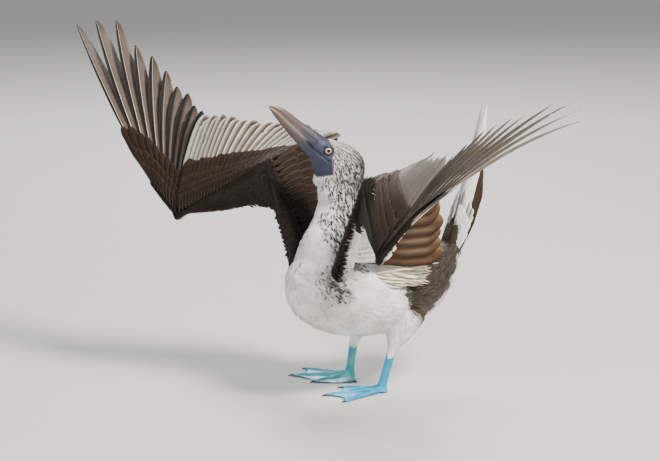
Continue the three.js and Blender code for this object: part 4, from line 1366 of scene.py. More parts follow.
@dataclass(frozen=True)
class TuftShape:
    """One small feather as a closed strip a unit long, which runs along +Y and bends down to the body."""

    half_width: float
    droop: float
    twist: float
    thick: float = 0.02
    stations: tuple[float, ...] = (0.0, 0.36, 0.74)
    breadth: tuple[float, ...] = (0.4, 1.0, 0.78)

    def shell(self) -> Shell:
        """The strip, with its run and its place across."""
        corners = np.array(((-1, 0), (0, 1), (1, 0), (0, -1.0)))
        run, wide = np.array(self.stations)[:, None], self.half_width * np.array(self.breadth)[:, None]
        across = corners[None, :, 0] + 0 * run
        height = corners[None, :, 1] * self.thick + across * self.twist * run - self.droop * run**2
        rings = np.stack([across * wide, run + 0 * across, height], axis=-1).reshape(-1, 3)
        points = np.vstack([rings, (0, 1, -self.droop)])
        last = len(rings) - 4
        side = np.arange(4)
        tip = np.stack([last + side, last + (side + 1) % 4, np.full(4, len(rings))], axis=1)
        faces = [grid_faces(len(self.stations), 4, wrap=True), tip, np.array([[3, 2, 1, 0]])]
        values = {"run": points[:, 1].copy(), "across": np.append(across.ravel(), 0.0)}
        return Shell(points, faces, values).turned_out()


BROAD_TUFTS = (TuftShape(0.17, 0.12, 0.02), TuftShape(0.14, 0.17, -0.03), TuftShape(0.2, 0.08, 0.0))
LANCE_TUFTS = (TuftShape(0.2, 0.1, 0.03), TuftShape(0.17, 0.14, -0.03), TuftShape(0.23, 0.06, 0.01))
TUFT_POINTS = 4 * len(TuftShape(0, 0, 0).stations) + 1


class CoatTree(GeometryTree):
    """Plants tufts on the skin, along the lie of the coat."""

    def __init__(self) -> None:
        """Builds the tree."""
        inputs = {"Tufts": "Collection", "Cover": "Float", "Spacing": "Float", "Tilt": "Float"}
        super().__init__("plant_coat", inputs)
        given = self.given
        feeds = {
            "Mesh": given["Base"],
            "Distance Min": given["Spacing"],
            "Density Max": self.math("DIVIDE", 3.0, self.math("POWER", given["Spacing"], 2.0)),
            "Density Factor": given["Cover"],
            "Seed": given["Seed"],
        }
        scatter = self.add("GeometryNodeDistributePointsOnFaces", feeds, distribute_method="POISSON")
        rooted = self.stored(scatter.outputs["Points"], "root_place", self.named("OFBake"))
        facing = self.stored(rooted, "root_normal", scatter.outputs["Normal"])
        bare = self.add("GeometryNodeRemoveAttribute", {"Geometry": facing, "Name": "OFBake"})
        feeds = {"Collection": given["Tufts"], "Separate Children": True, "Reset Children": True}
        picked = self.add("GeometryNodeCollectionInfo", feeds)
        feeds = {
            "Points": bare.outputs["Geometry"],
            "Instance": picked.outputs["Instances"],
            "Pick Instance": True,
            "Rotation": self.leaned(scatter.outputs["Normal"]),
            "Scale": self.math("MULTIPLY", self.named("size", "FLOAT"), self.chance(0.8, 1.2, 11)),
        }
        self.finish(self.add("GeometryNodeInstanceOnPoints", feeds).outputs["Instances"])

    def leaned(self, normal: Socket) -> Socket:
        """The rotation of each tuft, with a little chance in its lift and heading."""
        lift = self.math("ADD", self.given["Tilt"], self.chance(-0.06, 0.06, 3))
        angles = self.add("ShaderNodeCombineXYZ", {"X": lift, "Z": self.chance(-0.14, 0.14, 7)})
        turned = self.add("FunctionNodeEulerToRotation", {0: angles.outputs[0]})
        feeds = {"Rotation": self.aligned(normal, self.named("lie")), "Rotate By": turned.outputs[0]}
        return self.add("FunctionNodeRotateRotation", feeds, rotation_space="LOCAL").outputs["Rotation"]


@dataclass(frozen=True)
class Streaks:
    """The long waves that the dark feather centres follow: their run, width and length, in millimetres."""

    axis: Triple = (0.0, 0.0, 1.0)
    apart: float = 4.8
    long: float = 30.0
    waves: int = 18

    def strength(self, points: Array, level: Array, seed: int) -> Array:
        """How dark the feather centres are at places.

        Args:
            points: Places in the working frame.
            level: How strongly each place is streaked, from 0 to 1.
            seed: Seeds the waves.

        Returns:
            A share for each place.
        """
        draw = np.random.default_rng(seed)
        along = unit(np.array(self.axis))
        across = unit(np.cross(along, FRONT))
        outward = np.cross(along, across)
        total = np.zeros(len(points))
        for _ in range(self.waves):
            heading, phase = draw.uniform(0, 2 * math.pi, 2)
            way = across * math.cos(heading) + outward * math.sin(heading)
            way = way / (self.apart * draw.uniform(0.8, 1.3)) + along * draw.normal() / self.long
            total += np.cos(points @ way * 2 * math.pi + phase)
        limit = lerp(2.0, -0.7, np.sqrt(level))
        return ramp(total * math.sqrt(2 / self.waves) - limit, 0.0, 0.4) * ramp(level, 0.02, 0.12)


@dataclass(frozen=True)
class CoatPiece:
    """One piece of the coat: its cover on the skin, spacing in millimetres, tufts, lift and streaks."""

    name: str
    cover: str
    spacing: float
    tufts: tuple[TuftShape, ...] = BROAD_TUFTS
    tilt: float = 0.04
    streaks: Streaks = Streaks()


@dataclass
class Coat:
    """The coat of small feathers on the skin."""

    pieces: tuple[CoatPiece, ...] = (
        CoatPiece("coat_breast", "cover_breast", 2.3),
        CoatPiece("coat_rear", "cover_rear", 2.8),
        CoatPiece("coat_neck", "cover_neck", 2.1, LANCE_TUFTS, 0.08),
        CoatPiece("coat_head", "cover_head", 1.5, LANCE_TUFTS, 0.13, Streaks(tuple(HEAD_FORWARD), 3.6, 13.0)),
        CoatPiece("coat_wings", "cover_wings", 2.3, BROAD_TUFTS, 0.02),
        CoatPiece("coat_thighs", "cover_thighs", 2.4, BROAD_TUFTS, 0.05),
    )
    patch: float = 0.003
    smoothness: float = 0.8

    def build(self, skin: Piece, finish: FeatherFinish) -> list[Piece]:
        """Plants the whole coat.

        Args:
            skin: The finished skin.
            finish: What the feathers are finished in.

        Returns:
            The pieces of the coat.
        """
        tree = CoatTree()
        material = finish.material()
        made = []
        for index, piece in enumerate(self.pieces):
            home = bpy.data.collections.new("tuft_templates")
            bpy.context.scene.collection.children.link(home)
            shapes = enumerate(piece.tufts)
            tufts = [template(f"tuft_{number}", shape.shell(), home) for number, shape in shapes]
            base = placed(piece.name, skin.data.copy())
            values = {"Tufts": home, "Cover": piece.cover, "Spacing": piece.spacing * MM, "Tilt": piece.tilt,
                      "Seed": SEED + index * 17, "Material": material}
            coat = tree.apply(base, piece.name, values)
            self.colour(coat.data, piece.streaks, SEED + index)
            discard(*tufts)
            bpy.data.collections.remove(home)
            made.append(coat)
        bpy.data.node_groups.remove(tree.tree)
        return made

    def colour(self, mesh: Mesh, streaks: Streaks, seed: int) -> None:
        """Gives each tuft its tone, its dark centre where it is streaked, its normals and its bake patch."""
        draw = np.random.default_rng(seed)
        run, across = read_value(mesh, "run", 1), read_value(mesh, "across", 1)
        tone, streak = read_value(mesh, "coat_tone", 4), read_value(mesh, "streak", 1)
        edge = read_value(mesh, "edge", 1)
        chance = np.repeat(draw.uniform(size=(len(run) // TUFT_POINTS, 3)), TUFT_POINTS, axis=0)
        uneven = np.clip(streak * (0.8 + 0.4 * chance[:, 0]), 0, 1)
        dark = streaks.strength(read_points(mesh), uneven, seed + 50)
        write_value(mesh, "centre", dark * ramp(run, 0.0, 0.15) * 0.96)
        colour = tone.copy()
        rim = np.maximum(np.abs(across), ramp(run, 0.85, 1)) * edge * (0.25 + 0.6 * chance[:, 2])
        colour = blend(colour, Palette.cream, rim)
        colour[:, :3] *= 0.93 + 0.14 * chance[:, 1:2]
        write_value(mesh, "tone", colour)
        place = read_value(mesh, "root_place", 3)[:, :2]
        local = np.stack([across * 0.5, run], axis=1) * self.patch
        write_bake_map(mesh, (place + local)[corner_points(mesh)])
        facing = unit(lerp(read_normals(mesh), read_value(mesh, "root_normal", 3), self.smoothness))
        kept = {"run", "across", "centre", "tone", "position", "OFBake"}
        fixed = {entry.name for entry in mesh.attributes if entry.is_internal or entry.is_required}
        for name in [entry.name for entry in mesh.attributes if entry.name not in kept | fixed]:
            mesh.attributes.remove(mesh.attributes[name])
        mesh.shade_smooth()
        mesh.normals_split_custom_set_from_vertices(facing.tolist())


@dataclass
class Plume:
    """The shaggy cream plume that hangs from each armpit along the flank."""

    count: int = 300
    rows: int = 11
    columns: int = 3
    root_low: Triple = (57.0, -46.0, 178.0)
    root_high: Triple = (61.0, -10.0, 210.0)
    tip_low: Triple = (73.0, 46.0, 166.0)
    tip_high: Triple = (80.0, 62.0, 203.0)
    width: float = 1.9
    thick: float = 0.3

    def build(self, side: Side, material: Material) -> Piece:
        """Makes one plume."""
        draw = np.random.default_rng(SEED + 300 + side.value)
        made = [self.lock(side, draw, patch) for patch in cells(self.count, 20)]
        return feather_piece(f"plume_{side.word}", made, material)

    def lock(self, side: Side, draw: np.random.Generator, cell: Cell) -> tuple[Shell, Array]:
        """One soft feather of the plume."""
        height, depth = draw.uniform(size=2)
        root = lerp(np.array(self.root_low), np.array(self.root_high), height) + draw.normal(size=3) * 1.5
        tip = lerp(np.array(self.tip_low), np.array(self.tip_high), height)
        tip = tip + draw.normal(size=3) * (2.5, 7, 6)
        root[0] -= 6 * depth
        tip[0] -= 14 * depth
        root = lerp(root, tip, 0.5 * draw.uniform() ** 1.5)
        tip = lerp(root, tip, draw.uniform(0.7, 1.04))
        stations, sides = np.linspace(0, 1, self.rows), np.linspace(-1, 1, self.columns)
        run, across = np.meshgrid(stations, sides, indexing="ij")
        middle = lerp(root, tip, run[..., None])
        wave = draw.normal(size=2) * 3.2
        bend = np.sin(run * math.pi)
        lift = np.sin(run * draw.uniform(5, 9) + draw.uniform(0, 6)) * draw.uniform(0.4, 1.8) * run
        middle = middle + np.stack([bend * (3 + wave[0]), 0 * run, bend * wave[1] + lift], axis=-1)
        outward = unit(np.array((1.0, -0.1, 0.35)))
        sideways = unit(np.cross(outward, tip - root))
        half = self.width * draw.uniform(0.6, 1.1) * np.sqrt(np.clip(1 - run**3, 0.003, 1))
        half = half * (0.3 + 0.7 * ramp(run, 0, 0.4))
        flat = middle + sideways * (across * half)[..., None]
        rise = outward * (self.thick / 2 * (1 - 0.5 * np.abs(across)))[..., None]
        pale = lerp(Palette.white, srgb("e9dcb4"), draw.uniform(0.1, 0.9)) * draw.uniform(0.93, 1.05)
        count = run.size
        values = {"tone": np.tile(pale, (2 * count, 1)), "run": np.tile(run.ravel() * 0.5, 2),
                  "across": np.tile(across.ravel(), 2)}
        place = cell.at(0.5 + 0.45 * across, run).reshape(-1, 2)
        shell = sheet(mirrored(flat + rise, side), mirrored(flat - rise, side), values)
        return shell, np.tile(place, (2, 1))


# Vanes


@dataclass(frozen=True)
class VaneShape:
    """How broad a vane is along its length, and the share of its width ahead of the shaft."""

    stations: tuple[float, ...]
    breadth: tuple[float, ...]
    lead_share: float
    rounding: float = 0.1

    def half_widths(self, run: Array) -> tuple[Array, Array]:
        """The widths ahead of the shaft and behind it, as shares of the whole."""
        full = np.interp(run, self.stations, self.breadth)
        tip = np.clip((run - (1 - self.rounding)) / self.rounding, 0, 1)
        full = full * np.sqrt(np.maximum(1 - tip**2.2, 0.0004))
        return full * self.lead_share, full * (1 - self.lead_share)


PRIMARY_VANE = VaneShape((0, 0.14, 0.4, 0.7, 0.9, 1), (0.08, 0.3, 0.86, 1, 0.68, 0.36), 0.34, 0.05)
SECONDARY_VANE = VaneShape((0, 0.18, 0.5, 0.84, 1), (0.12, 0.55, 1, 0.98, 0.8), 0.42, 0.12)
TERTIAL_VANE = VaneShape((0, 0.25, 0.6, 0.84, 1), (0.12, 0.6, 1, 0.96, 0.8), 0.42, 0.2)
LINING_VANE = VaneShape((0, 0.35, 0.7, 0.9, 1), (0.15, 0.8, 1, 0.8, 0.5), 0.5, 0.16)
COVERT_VANE = VaneShape((0, 0.4, 0.8, 1), (0.15, 0.8, 1, 0.86), 0.46, 0.24)
TAIL_VANE = VaneShape((0, 0.2, 0.5, 0.8, 0.93, 1), (0.12, 0.5, 1, 0.84, 0.42, 0.12), 0.5, 0.05)


class Coloring(Enum):
    """How the feathers of a row are marked."""

    PRIMARY = "primary"
    SECONDARY = "secondary"
    DULL = "dull"
    TERTIAL = "tertial"
    COVERT = "covert"
    LINING = "lining"
    TAIL = "tail"
    TAIL_COVERT = "tail_covert"


@dataclass(frozen=True)
class Tier:
    """One row of feathers: how many, how long, broad and far off the sheet, and where it starts and ends."""

    count: int
    reach: float
    width: float
    lifts: Pair
    start: float
    end: float
    shape: VaneShape
    coloring: Coloring
    layer: float = 0.9
    rows: int = 14
    columns: int = 5
    ragged: float = 0.04


@dataclass(frozen=True)
class WingGroup:
    """A sheet of feathers between a stretch of the arm and a line of feather tips."""

    start: Array
    end: Array
    tips: Array
    sweep: Pair
    camber: Pair
    roll: Pair
    tiers: tuple[Tier, ...]
    onset: Pair = (0.3, 0.85)
    reaches: tuple[float, ...] = ()
    smoothing: float = 0.3
    least_spacing: float = 50.0

    def tip_run(self, t: Array) -> Array:
        """The way and speed at which the line of tips goes by."""
        low, high = np.clip(t - self.smoothing, 0, 1), np.clip(t + self.smoothing, 0, 1)
        return (on_curve(self.tips, high) - on_curve(self.tips, low)) / (high - low)[:, None]

    def axes(self, t: Array) -> tuple[Array, Array, Array, Array]:
        """Root, shaft, normal and leading direction at places along the row."""
        inside = np.clip(t, 0, 1)
        run = self.tip_run(t)
        far = on_curve(self.tips, inside) + run * (t - inside)[:, None]
        root = blend(self.start, self.end, t)
        shaft = far - root
        normal = unit(np.cross(run + (self.end - self.start), shaft))
        return root, shaft, normal, unit(np.cross(shaft, normal))

    def point(self, t: Array, u: Array, height: Array) -> Array:
        """Points on the sheet, each at a place along the row, along the shaft and off the sheet."""
        root, shaft, normal, lead = self.axes(t)
        bow = (4 * u * (1 - u) * np.linalg.norm(shaft, axis=1))[:, None]
        sweep = lerp(self.sweep[0], self.sweep[1], t)[:, None]
        camber = lerp(self.camber[0], self.camber[1], t)[:, None]
        return root + shaft * u[:, None] + lead * sweep * bow + normal * (camber * bow + height[:, None])

    def spacing(self, t: Array, u: Array) -> Array:
        """Millimetres along the leading direction for each unit of t."""
        lead = self.axes(t)[3]
        at_root = lead @ (self.end - self.start)
        at_tip = dots(self.tip_run(t), lead)
        return np.maximum(lerp(at_root, at_tip, u), self.least_spacing)

    def angle(self, t: float, u: Array) -> Array:
        """How far a feather is rolled about its shaft."""
        return lerp(self.roll[0], self.roll[1], t) * ramp(u, self.onset[0], self.onset[1])


def surface_tone(
    coloring: Coloring, run: Array, across: Array, order: float, chance: Array, under: bool
) -> Array:
    """The colour of a feather at places on it.

    Args:
        coloring: How its row is marked.
        run: Place along it, from 0 at the root to 1 at the tip.
        across: Place across it, from -1 at the trailing edge to 1 at the leading edge.
        order: Its place in its row, from 0 to 1.
        chance: Three random numbers from 0 to 1 for this feather.
        under: Whether this is its underside.

    Returns:
        One colour a point.
    """
    pen = Palette
    rim = ramp(np.abs(across), 0.72, 1.0)
    tip = ramp(run, 0.86, 1.0)
    lead = ramp(across, -0.05, 0.12)
    if coloring is Coloring.PRIMARY:
        inner = blend(pen.grey_brown, pen.silver, 0.15 + 0.6 * rim + 0.2 * chance[0])
        inner = blend(inner, pen.primary, 0.55 * tip)
        tone = blend(inner, pen.primary, lead)
        tone = blend(tone, pen.silver, 0.3 * rim * lead)
        tone = lerp(tone, pen.silver, 0.3) if under else tone
    elif coloring in (Coloring.SECONDARY, Coloring.DULL):
        pale = np.clip(ramp(across, 0.0, 0.8) * (0.85 + 0.15 * chance[0]) + 0.45 * rim, 0, 1)
        pale = pale * (0.4 if coloring is Coloring.DULL else 1.0)
        tone = blend(pen.grey_brown, pen.pearl, pale * ramp(run, 0.15, 0.5))
        tone = blend(tone, pen.chocolate, 0.45 * (1 - pale))
        tone = blend(tone, pen.pearl, 0.5 * ramp(run, 0.955, 1.0))
        tone = lerp(tone, pen.silver, 0.3) if under else tone
    elif coloring is Coloring.TERTIAL:
        base = blend(pen.chocolate, pen.grey_brown, 0.35 * np.abs(across))
        base = blend(base, pen.pearl, 0.75 * ramp(np.abs(across), 0.35, 0.9) * ramp(run, 0.3, 0.6))
        # Painted light and shade on the tertials' undersides: shaded umber at the base, tan where lit towards
        # the tips.
        lit = ramp(run + 0.3 * across, 0.78, 1.12)
        under_base = blend(pen.umber, pen.tan, lit * (0.6 + 0.4 * chance[0]))
        wedge = ramp(np.abs(across), 0.2, 0.75) * (1 - ramp(run, 0.8, 0.93)) * ramp(run, 0.5, 0.7)
        under_base = blend(under_base, pen.cream, 0.16 * wedge * (0.2 + 0.8 * chance[2]))
        tone = blend(under_base, pen.chocolate, 0.4 * rim) if under else base
    elif coloring is Coloring.COVERT:
        base = blend(pen.dark, pen.chocolate, 0.3 + 0.7 * ramp(run, 0.4, 1.0))
        tone = blend(base, pen.grey_brown, np.clip(0.15 * rim + 0.25 * tip, 0, 1) * (0.3 + 0.7 * chance[0]))
        tone = lerp(tone, pen.silver, 0.5) if under else tone
    elif coloring is Coloring.LINING:
        tone = blend(pen.white, pen.shade, 0.3 * rim + 0.3 * chance[0] + 0.2 * (1 - run))
    elif coloring is Coloring.TAIL:
        outer = ramp(np.full(len(run), order), 0.3, 0.5)
        shade = 0.3 * (1 - np.abs(across)) + 0.3 * (1 - run)
        shade = shade + 0.45 * ramp(-across, 0.0, 0.5) * (chance[1] > 0.4)
        pale = blend(pen.white, pen.silver, np.clip(shade, 0, 1))
        brown = blend(pen.mottle, pen.dark, 0.2 + 0.6 * run)
        tone = blend(pale, brown, outer)
        tone = blend(tone, pen.tan, 0.22 * rim * outer * (across > 0))
    else:
        spot = ramp(run, 0.25, 0.7) * (1 - np.abs(across)) * (chance[2] > 0.45)
        tone = blend(pen.white, pen.mottle, 0.08 + 0.75 * spot)
    tone = np.array(np.broadcast_to(tone, (len(run), 4)))
    tone[:, :3] *= 0.92 + 0.16 * chance[1]
    return tone


@dataclass
class VaneMaker:
    """Makes single feathers as thin closed ribbons with a raised shaft."""

    draw: np.random.Generator
    thick: float = 0.4
    shaft_sides: int = 5

    def ribbon(self, tier: Tier, order: float, place: Callable[[Array, Array, Array], Array], length: float,
               cell: Cell) -> list[tuple[Shell, Array]]:
        """One feather.

        Args:
            tier: Its row.
            order: Its place in its row, from 0 to 1.
            place: Gives points for arrays of run, offset in millimetres and height.
            length: Its length in millimetres.
            cell: Its patch of the bake map, as low u, low v, high u, high v.

        Returns:
            The vane and its shaft, each with the bake place of each of its points.
        """
        chance = self.draw.uniform(size=3)
        run = 1 - (1 - np.linspace(0, 1, tier.rows)) ** 1.35
        ahead, behind = tier.shape.half_widths(run)
        if tier.coloring is Coloring.PRIMARY:
            ahead = ahead * lerp(1.0, 0.45, order)
        notches = np.ones((2, tier.rows))
        for edge in notches:
            edge *= 1 - tier.ragged * self.draw.uniform(0, 1, tier.rows)
            if self.draw.uniform() < tier.ragged * 5:
                edge[self.draw.integers(tier.rows // 2, tier.rows - 2)] *= self.draw.uniform(0.62, 0.85)
        across = np.linspace(-1, 1, 2 * (tier.columns // 2) + 1)
        grid_run, grid_across = np.meshgrid(run, across, indexing="ij")
        half = np.where(grid_across > 0, (ahead * notches[0])[:, None], (behind * notches[1])[:, None])
        offset = grid_across * half * tier.width
        cup = -0.07 * tier.width * (grid_across * half) ** 2 * 4
        slant = 0.02 * length * np.abs(grid_across) * (1 - ramp(grid_run, 0.8, 1.0))
        run_here = np.clip(grid_run + slant / length, 0, 1)
        flat_run, flat_offset = run_here.ravel(), offset.ravel()
        body = self.thick * (0.35 + 0.65 * (1 - np.abs(grid_across))) * (1 - 0.6 * grid_run)
        shape = (*grid_run.shape, 3)
        heights = (cup + body / 2, cup - body / 2)
        top, low = (place(flat_run, flat_offset, height.ravel()).reshape(shape) for height in heights)
        flat_across = grid_across.ravel()
        marks = (tier.coloring, flat_run, flat_across, order, chance)
        values = {
            "tone": np.vstack([surface_tone(*marks, under) for under in (False, True)]),
            "run": np.tile(flat_run * length * 10 * MM, 2),
            "across": np.tile(flat_across, 2),
        }
        vane = sheet(top, low, values)
        side_share = 0.24 + 0.22 * flat_across
        bake = np.vstack([cell.at(side_share + shift, flat_run) for shift in (0.0, 0.5)])
        return [(vane, bake), self.shaft(tier, place, order, cell)]

    def shaft(self, tier: Tier, place: Callable[[Array, Array, Array], Array], order: float,
              cell: Cell) -> tuple[Shell, Array]:
        """The feather's shaft, a tapered rod a little proud of the vane."""
        steps = max(6, tier.rows // 2)
        run = np.linspace(0, 0.985, steps)
        radius = (0.018 * tier.width + 0.24) * (1 - 0.75 * run)
        angle = turns(self.shaft_sides)
        offset = radius[:, None] * np.cos(angle)[None]
        height = radius[:, None] * np.sin(angle)[None] + 0.12
        flat = np.repeat(run, self.shaft_sides)
        spots = place(flat, offset.ravel(), height.ravel()).reshape(steps, self.shaft_sides, 3)
        pale = {Coloring.PRIMARY: 0.95, Coloring.TAIL: 0.6, Coloring.LINING: 0.85}.get(tier.coloring, 0.06)
        pale *= ramp(np.array([order]), 0.25, 0.6)[0] if tier.coloring is Coloring.PRIMARY else 1.0
        tone = np.broadcast_to(lerp(Palette.chocolate, Palette.shaft, pale), (*offset.shape, 4))
        rod = capped(spots, {"tone": tone, "run": 0 * offset, "across": 0 * offset})
        along = np.append(flat, (0.0, 1.0))
        return rod, cell.at(np.full(len(along), 0.98), along)


def cells(count: int, wide: int) -> list[Cell]:
    """A grid of patches on the bake map, one a feather."""
    tall = math.ceil(count / wide)
    step_u, step_v = 1 / wide, 1 / tall
    lows = [(index % wide * step_u, index // wide * step_v) for index in range(count)]
    inset = 0.03
    return [
        Cell(u + inset * step_u, v + inset * step_v, u + (1 - inset) * step_u, v + (1 - inset) * step_v)
        for u, v in lows
    ]


def feather_piece(name: str, made: list[tuple[Shell, Array]], material: Material) -> Piece:
    """Joins feathers into one piece with its bake map."""
    shell = Shell.joined([entry[0] for entry in made])
    bake = np.vstack([entry[1] for entry in made])
    piece = shell.to_object(name, material)
    write_bake_map(piece.data, bake[corner_points(piece.data)])
    return piece


@dataclass
class Wing:
    """All the vanes of one wing, row by row."""

    side: Side
    roll_near: Pair = (math.radians(21), math.radians(25))
    roll_far: Pair = (math.radians(22), math.radians(44))
    reaches_near: tuple[float, ...] = (1.0, 0.97, 1.0, 0.98, 1.0, 0.97, 1.02, 1.03, 1.06, 1.08)
    reaches_far: tuple[float, ...] = (1.0, 0.97, 1.0, 0.965, 1.0, 1.0, 0.945, 1.05, 1.04, 1.01)
    near_drop: tuple[float, ...] = (15.5, 9.0, 2.0, 0.0)
    sweep_near: float = -0.085
    sweep_far: float = 0.008

    def groups(self) -> dict[str, WingGroup]:
        """The three sheets of feathers, each with its rows."""
        shoulder, elbow, wrist = Measures.shoulder, Measures.elbow, Measures.wrist
        end = hand_end(self.side)
        spread = UP[None] * (self.side.value * PRIMARY_SPREAD)[:, None]
        near = self.side is Side.LEFT
        hand_sweep = self.sweep_near if near else self.sweep_far
        roll = self.roll_near if near else self.roll_far
        drop = UP[None] * (np.array(self.near_drop) * near)[:, None]
        secondary_tips = SECONDARY_TIPS - drop
        tuck = np.array((0, -14.0, -30.0)) * near
        tertial_tips = np.vstack([TERTIAL_TIPS[:-1], secondary_tips[:1] + tuck])
        secondary = Coloring.DULL if near else Coloring.SECONDARY
        return {
            "inner": WingGroup(
                lerp(shoulder, elbow, 0.1), elbow, tertial_tips, (0, 0.02), (0.03, 0.04), (0.0, 0.0),
                (
                    Tier(9, 1.0, 36, (0, 0), 0, 0.96, TERTIAL_VANE, Coloring.TERTIAL, 0.9, 28, 7, 0.015),
                    Tier(13, 0.52, 26, (3.2, 3.2), 0, 0.98, COVERT_VANE, Coloring.COVERT),
                    Tier(15, 0.34, 20, (5.4, 5.4), 0, 0.98, COVERT_VANE, Coloring.COVERT),
                    Tier(12, 0.52, 20, (-3.4, -3), 0, 0.86, LINING_VANE, Coloring.LINING, rows=18),
                    Tier(15, 0.36, 15, (-5.2, -5), 0, 0.86, LINING_VANE, Coloring.LINING, rows=18),
                ),
            ),
            "middle": WingGroup(
                lerp(elbow, wrist, 0.1), lerp(elbow, wrist, 0.99), secondary_tips,
                (0.02, 0.02), (0.04, 0.04), (0.0, 0.0),
                (
                    Tier(20, 1.0, 27, (0, 0), 0.02, 0.98, SECONDARY_VANE, secondary, rows=28, columns=7),
                    Tier(20, 0.5, 21, (3.0, 3.0), 0.02, 0.98, COVERT_VANE, Coloring.COVERT, rows=16),
                    Tier(22, 0.34, 17, (5.0, 5.4), 0.02, 0.98, COVERT_VANE, Coloring.COVERT),
                    Tier(24, 0.24, 14, (6.6, 7.2), 0.02, 0.98, COVERT_VANE, Coloring.COVERT),
                    Tier(26, 0.16, 12, (7.8, 8.4), 0.03, 0.98, COVERT_VANE, Coloring.COVERT, rows=10),
                    Tier(18, 0.46, 20, (-3.4, -2.6), 0.17, 0.98, LINING_VANE, Coloring.LINING, layer=0.35),
                    Tier(20, 0.28, 15, (-5.4, -4.4), 0.19, 0.98, LINING_VANE, Coloring.LINING, layer=0.35),
                ),
            ),
            "hand": WingGroup(
                lerp(wrist, end, 0.03), end, PRIMARY_TIPS + spread, (0.02, hand_sweep), (0.04, 0.02), roll,
                (
                    Tier(10, 1.0, 30, (0, 0), 0.015, 1, PRIMARY_VANE, Coloring.PRIMARY, rows=36, columns=7),
                    Tier(10, 0.34, 17, (2.8, 2.8), 0.02, 1, COVERT_VANE, Coloring.COVERT, rows=16),
                    Tier(10, 0.22, 14, (4.6, 5.4), 0.03, 0.98, COVERT_VANE, Coloring.COVERT),
                    Tier(9, 0.13, 11, (6.0, 6.8), 0.05, 0.96, COVERT_VANE, Coloring.COVERT),
                    Tier(10, 0.3, 16, (-2.4, -2.4), 0.02, 1, LINING_VANE, Coloring.LINING),
                ),
                onset=(0.12, 0.45) if near else (0.3, 0.85),
                reaches=self.reaches_near if near else self.reaches_far,
            ),
        }

    def feather(self, group: WingGroup, tier: Tier, index: int, maker: VaneMaker,
                cell: Cell) -> list[tuple[Shell, Array]]:
        """One feather of a row."""
        order = index / max(1, tier.count - 1)
        t = lerp(tier.start, tier.end, order)
        slope = tier.layer * (tier.count - 1) / (tier.end - tier.start)
        lift = lerp(tier.lifts[0], tier.lifts[1], order)
        reach = tier.reach * (1 + 0.025 * maker.draw.normal())
        if tier.coloring is Coloring.PRIMARY:
            reach = group.reaches[index]
        aside = 0.0016 * maker.draw.normal()
        whole = float(np.linalg.norm(group.axes(np.array([t]))[1][0]))

        def place(run: Array, offset: Array, height: Array) -> Array:
            u = run * reach
            angle = group.angle(t, u)
            here = np.full_like(u, t) + aside * run
            flat = offset * np.cos(angle) / group.spacing(here, u)
            at = here + flat
            spot = group.point(at, u, lift + slope * (at - here) + height)
            normal = group.axes(at)[2]
            return mirrored(spot + normal * (offset * np.sin(angle))[:, None], self.side)

        return maker.ribbon(tier, order, place, whole * reach, cell)

    def build(self, material: Material) -> list[Piece]:
        """Makes the wing's vanes: one piece for each of its three sheets."""
        pieces = []
        for number, (word, group) in enumerate(self.groups().items()):
            maker = VaneMaker(np.random.default_rng(SEED + 100 * number + self.side.value))
            patches = iter(cells(sum(tier.count for tier in group.tiers), 16))
            made = []
            for tier in group.tiers:
                for index in range(tier.count):
                    made += self.feather(group, tier, index, maker, next(patches))
            pieces.append(feather_piece(f"vanes_{word}_{self.side.word}", made, material))
        return pieces


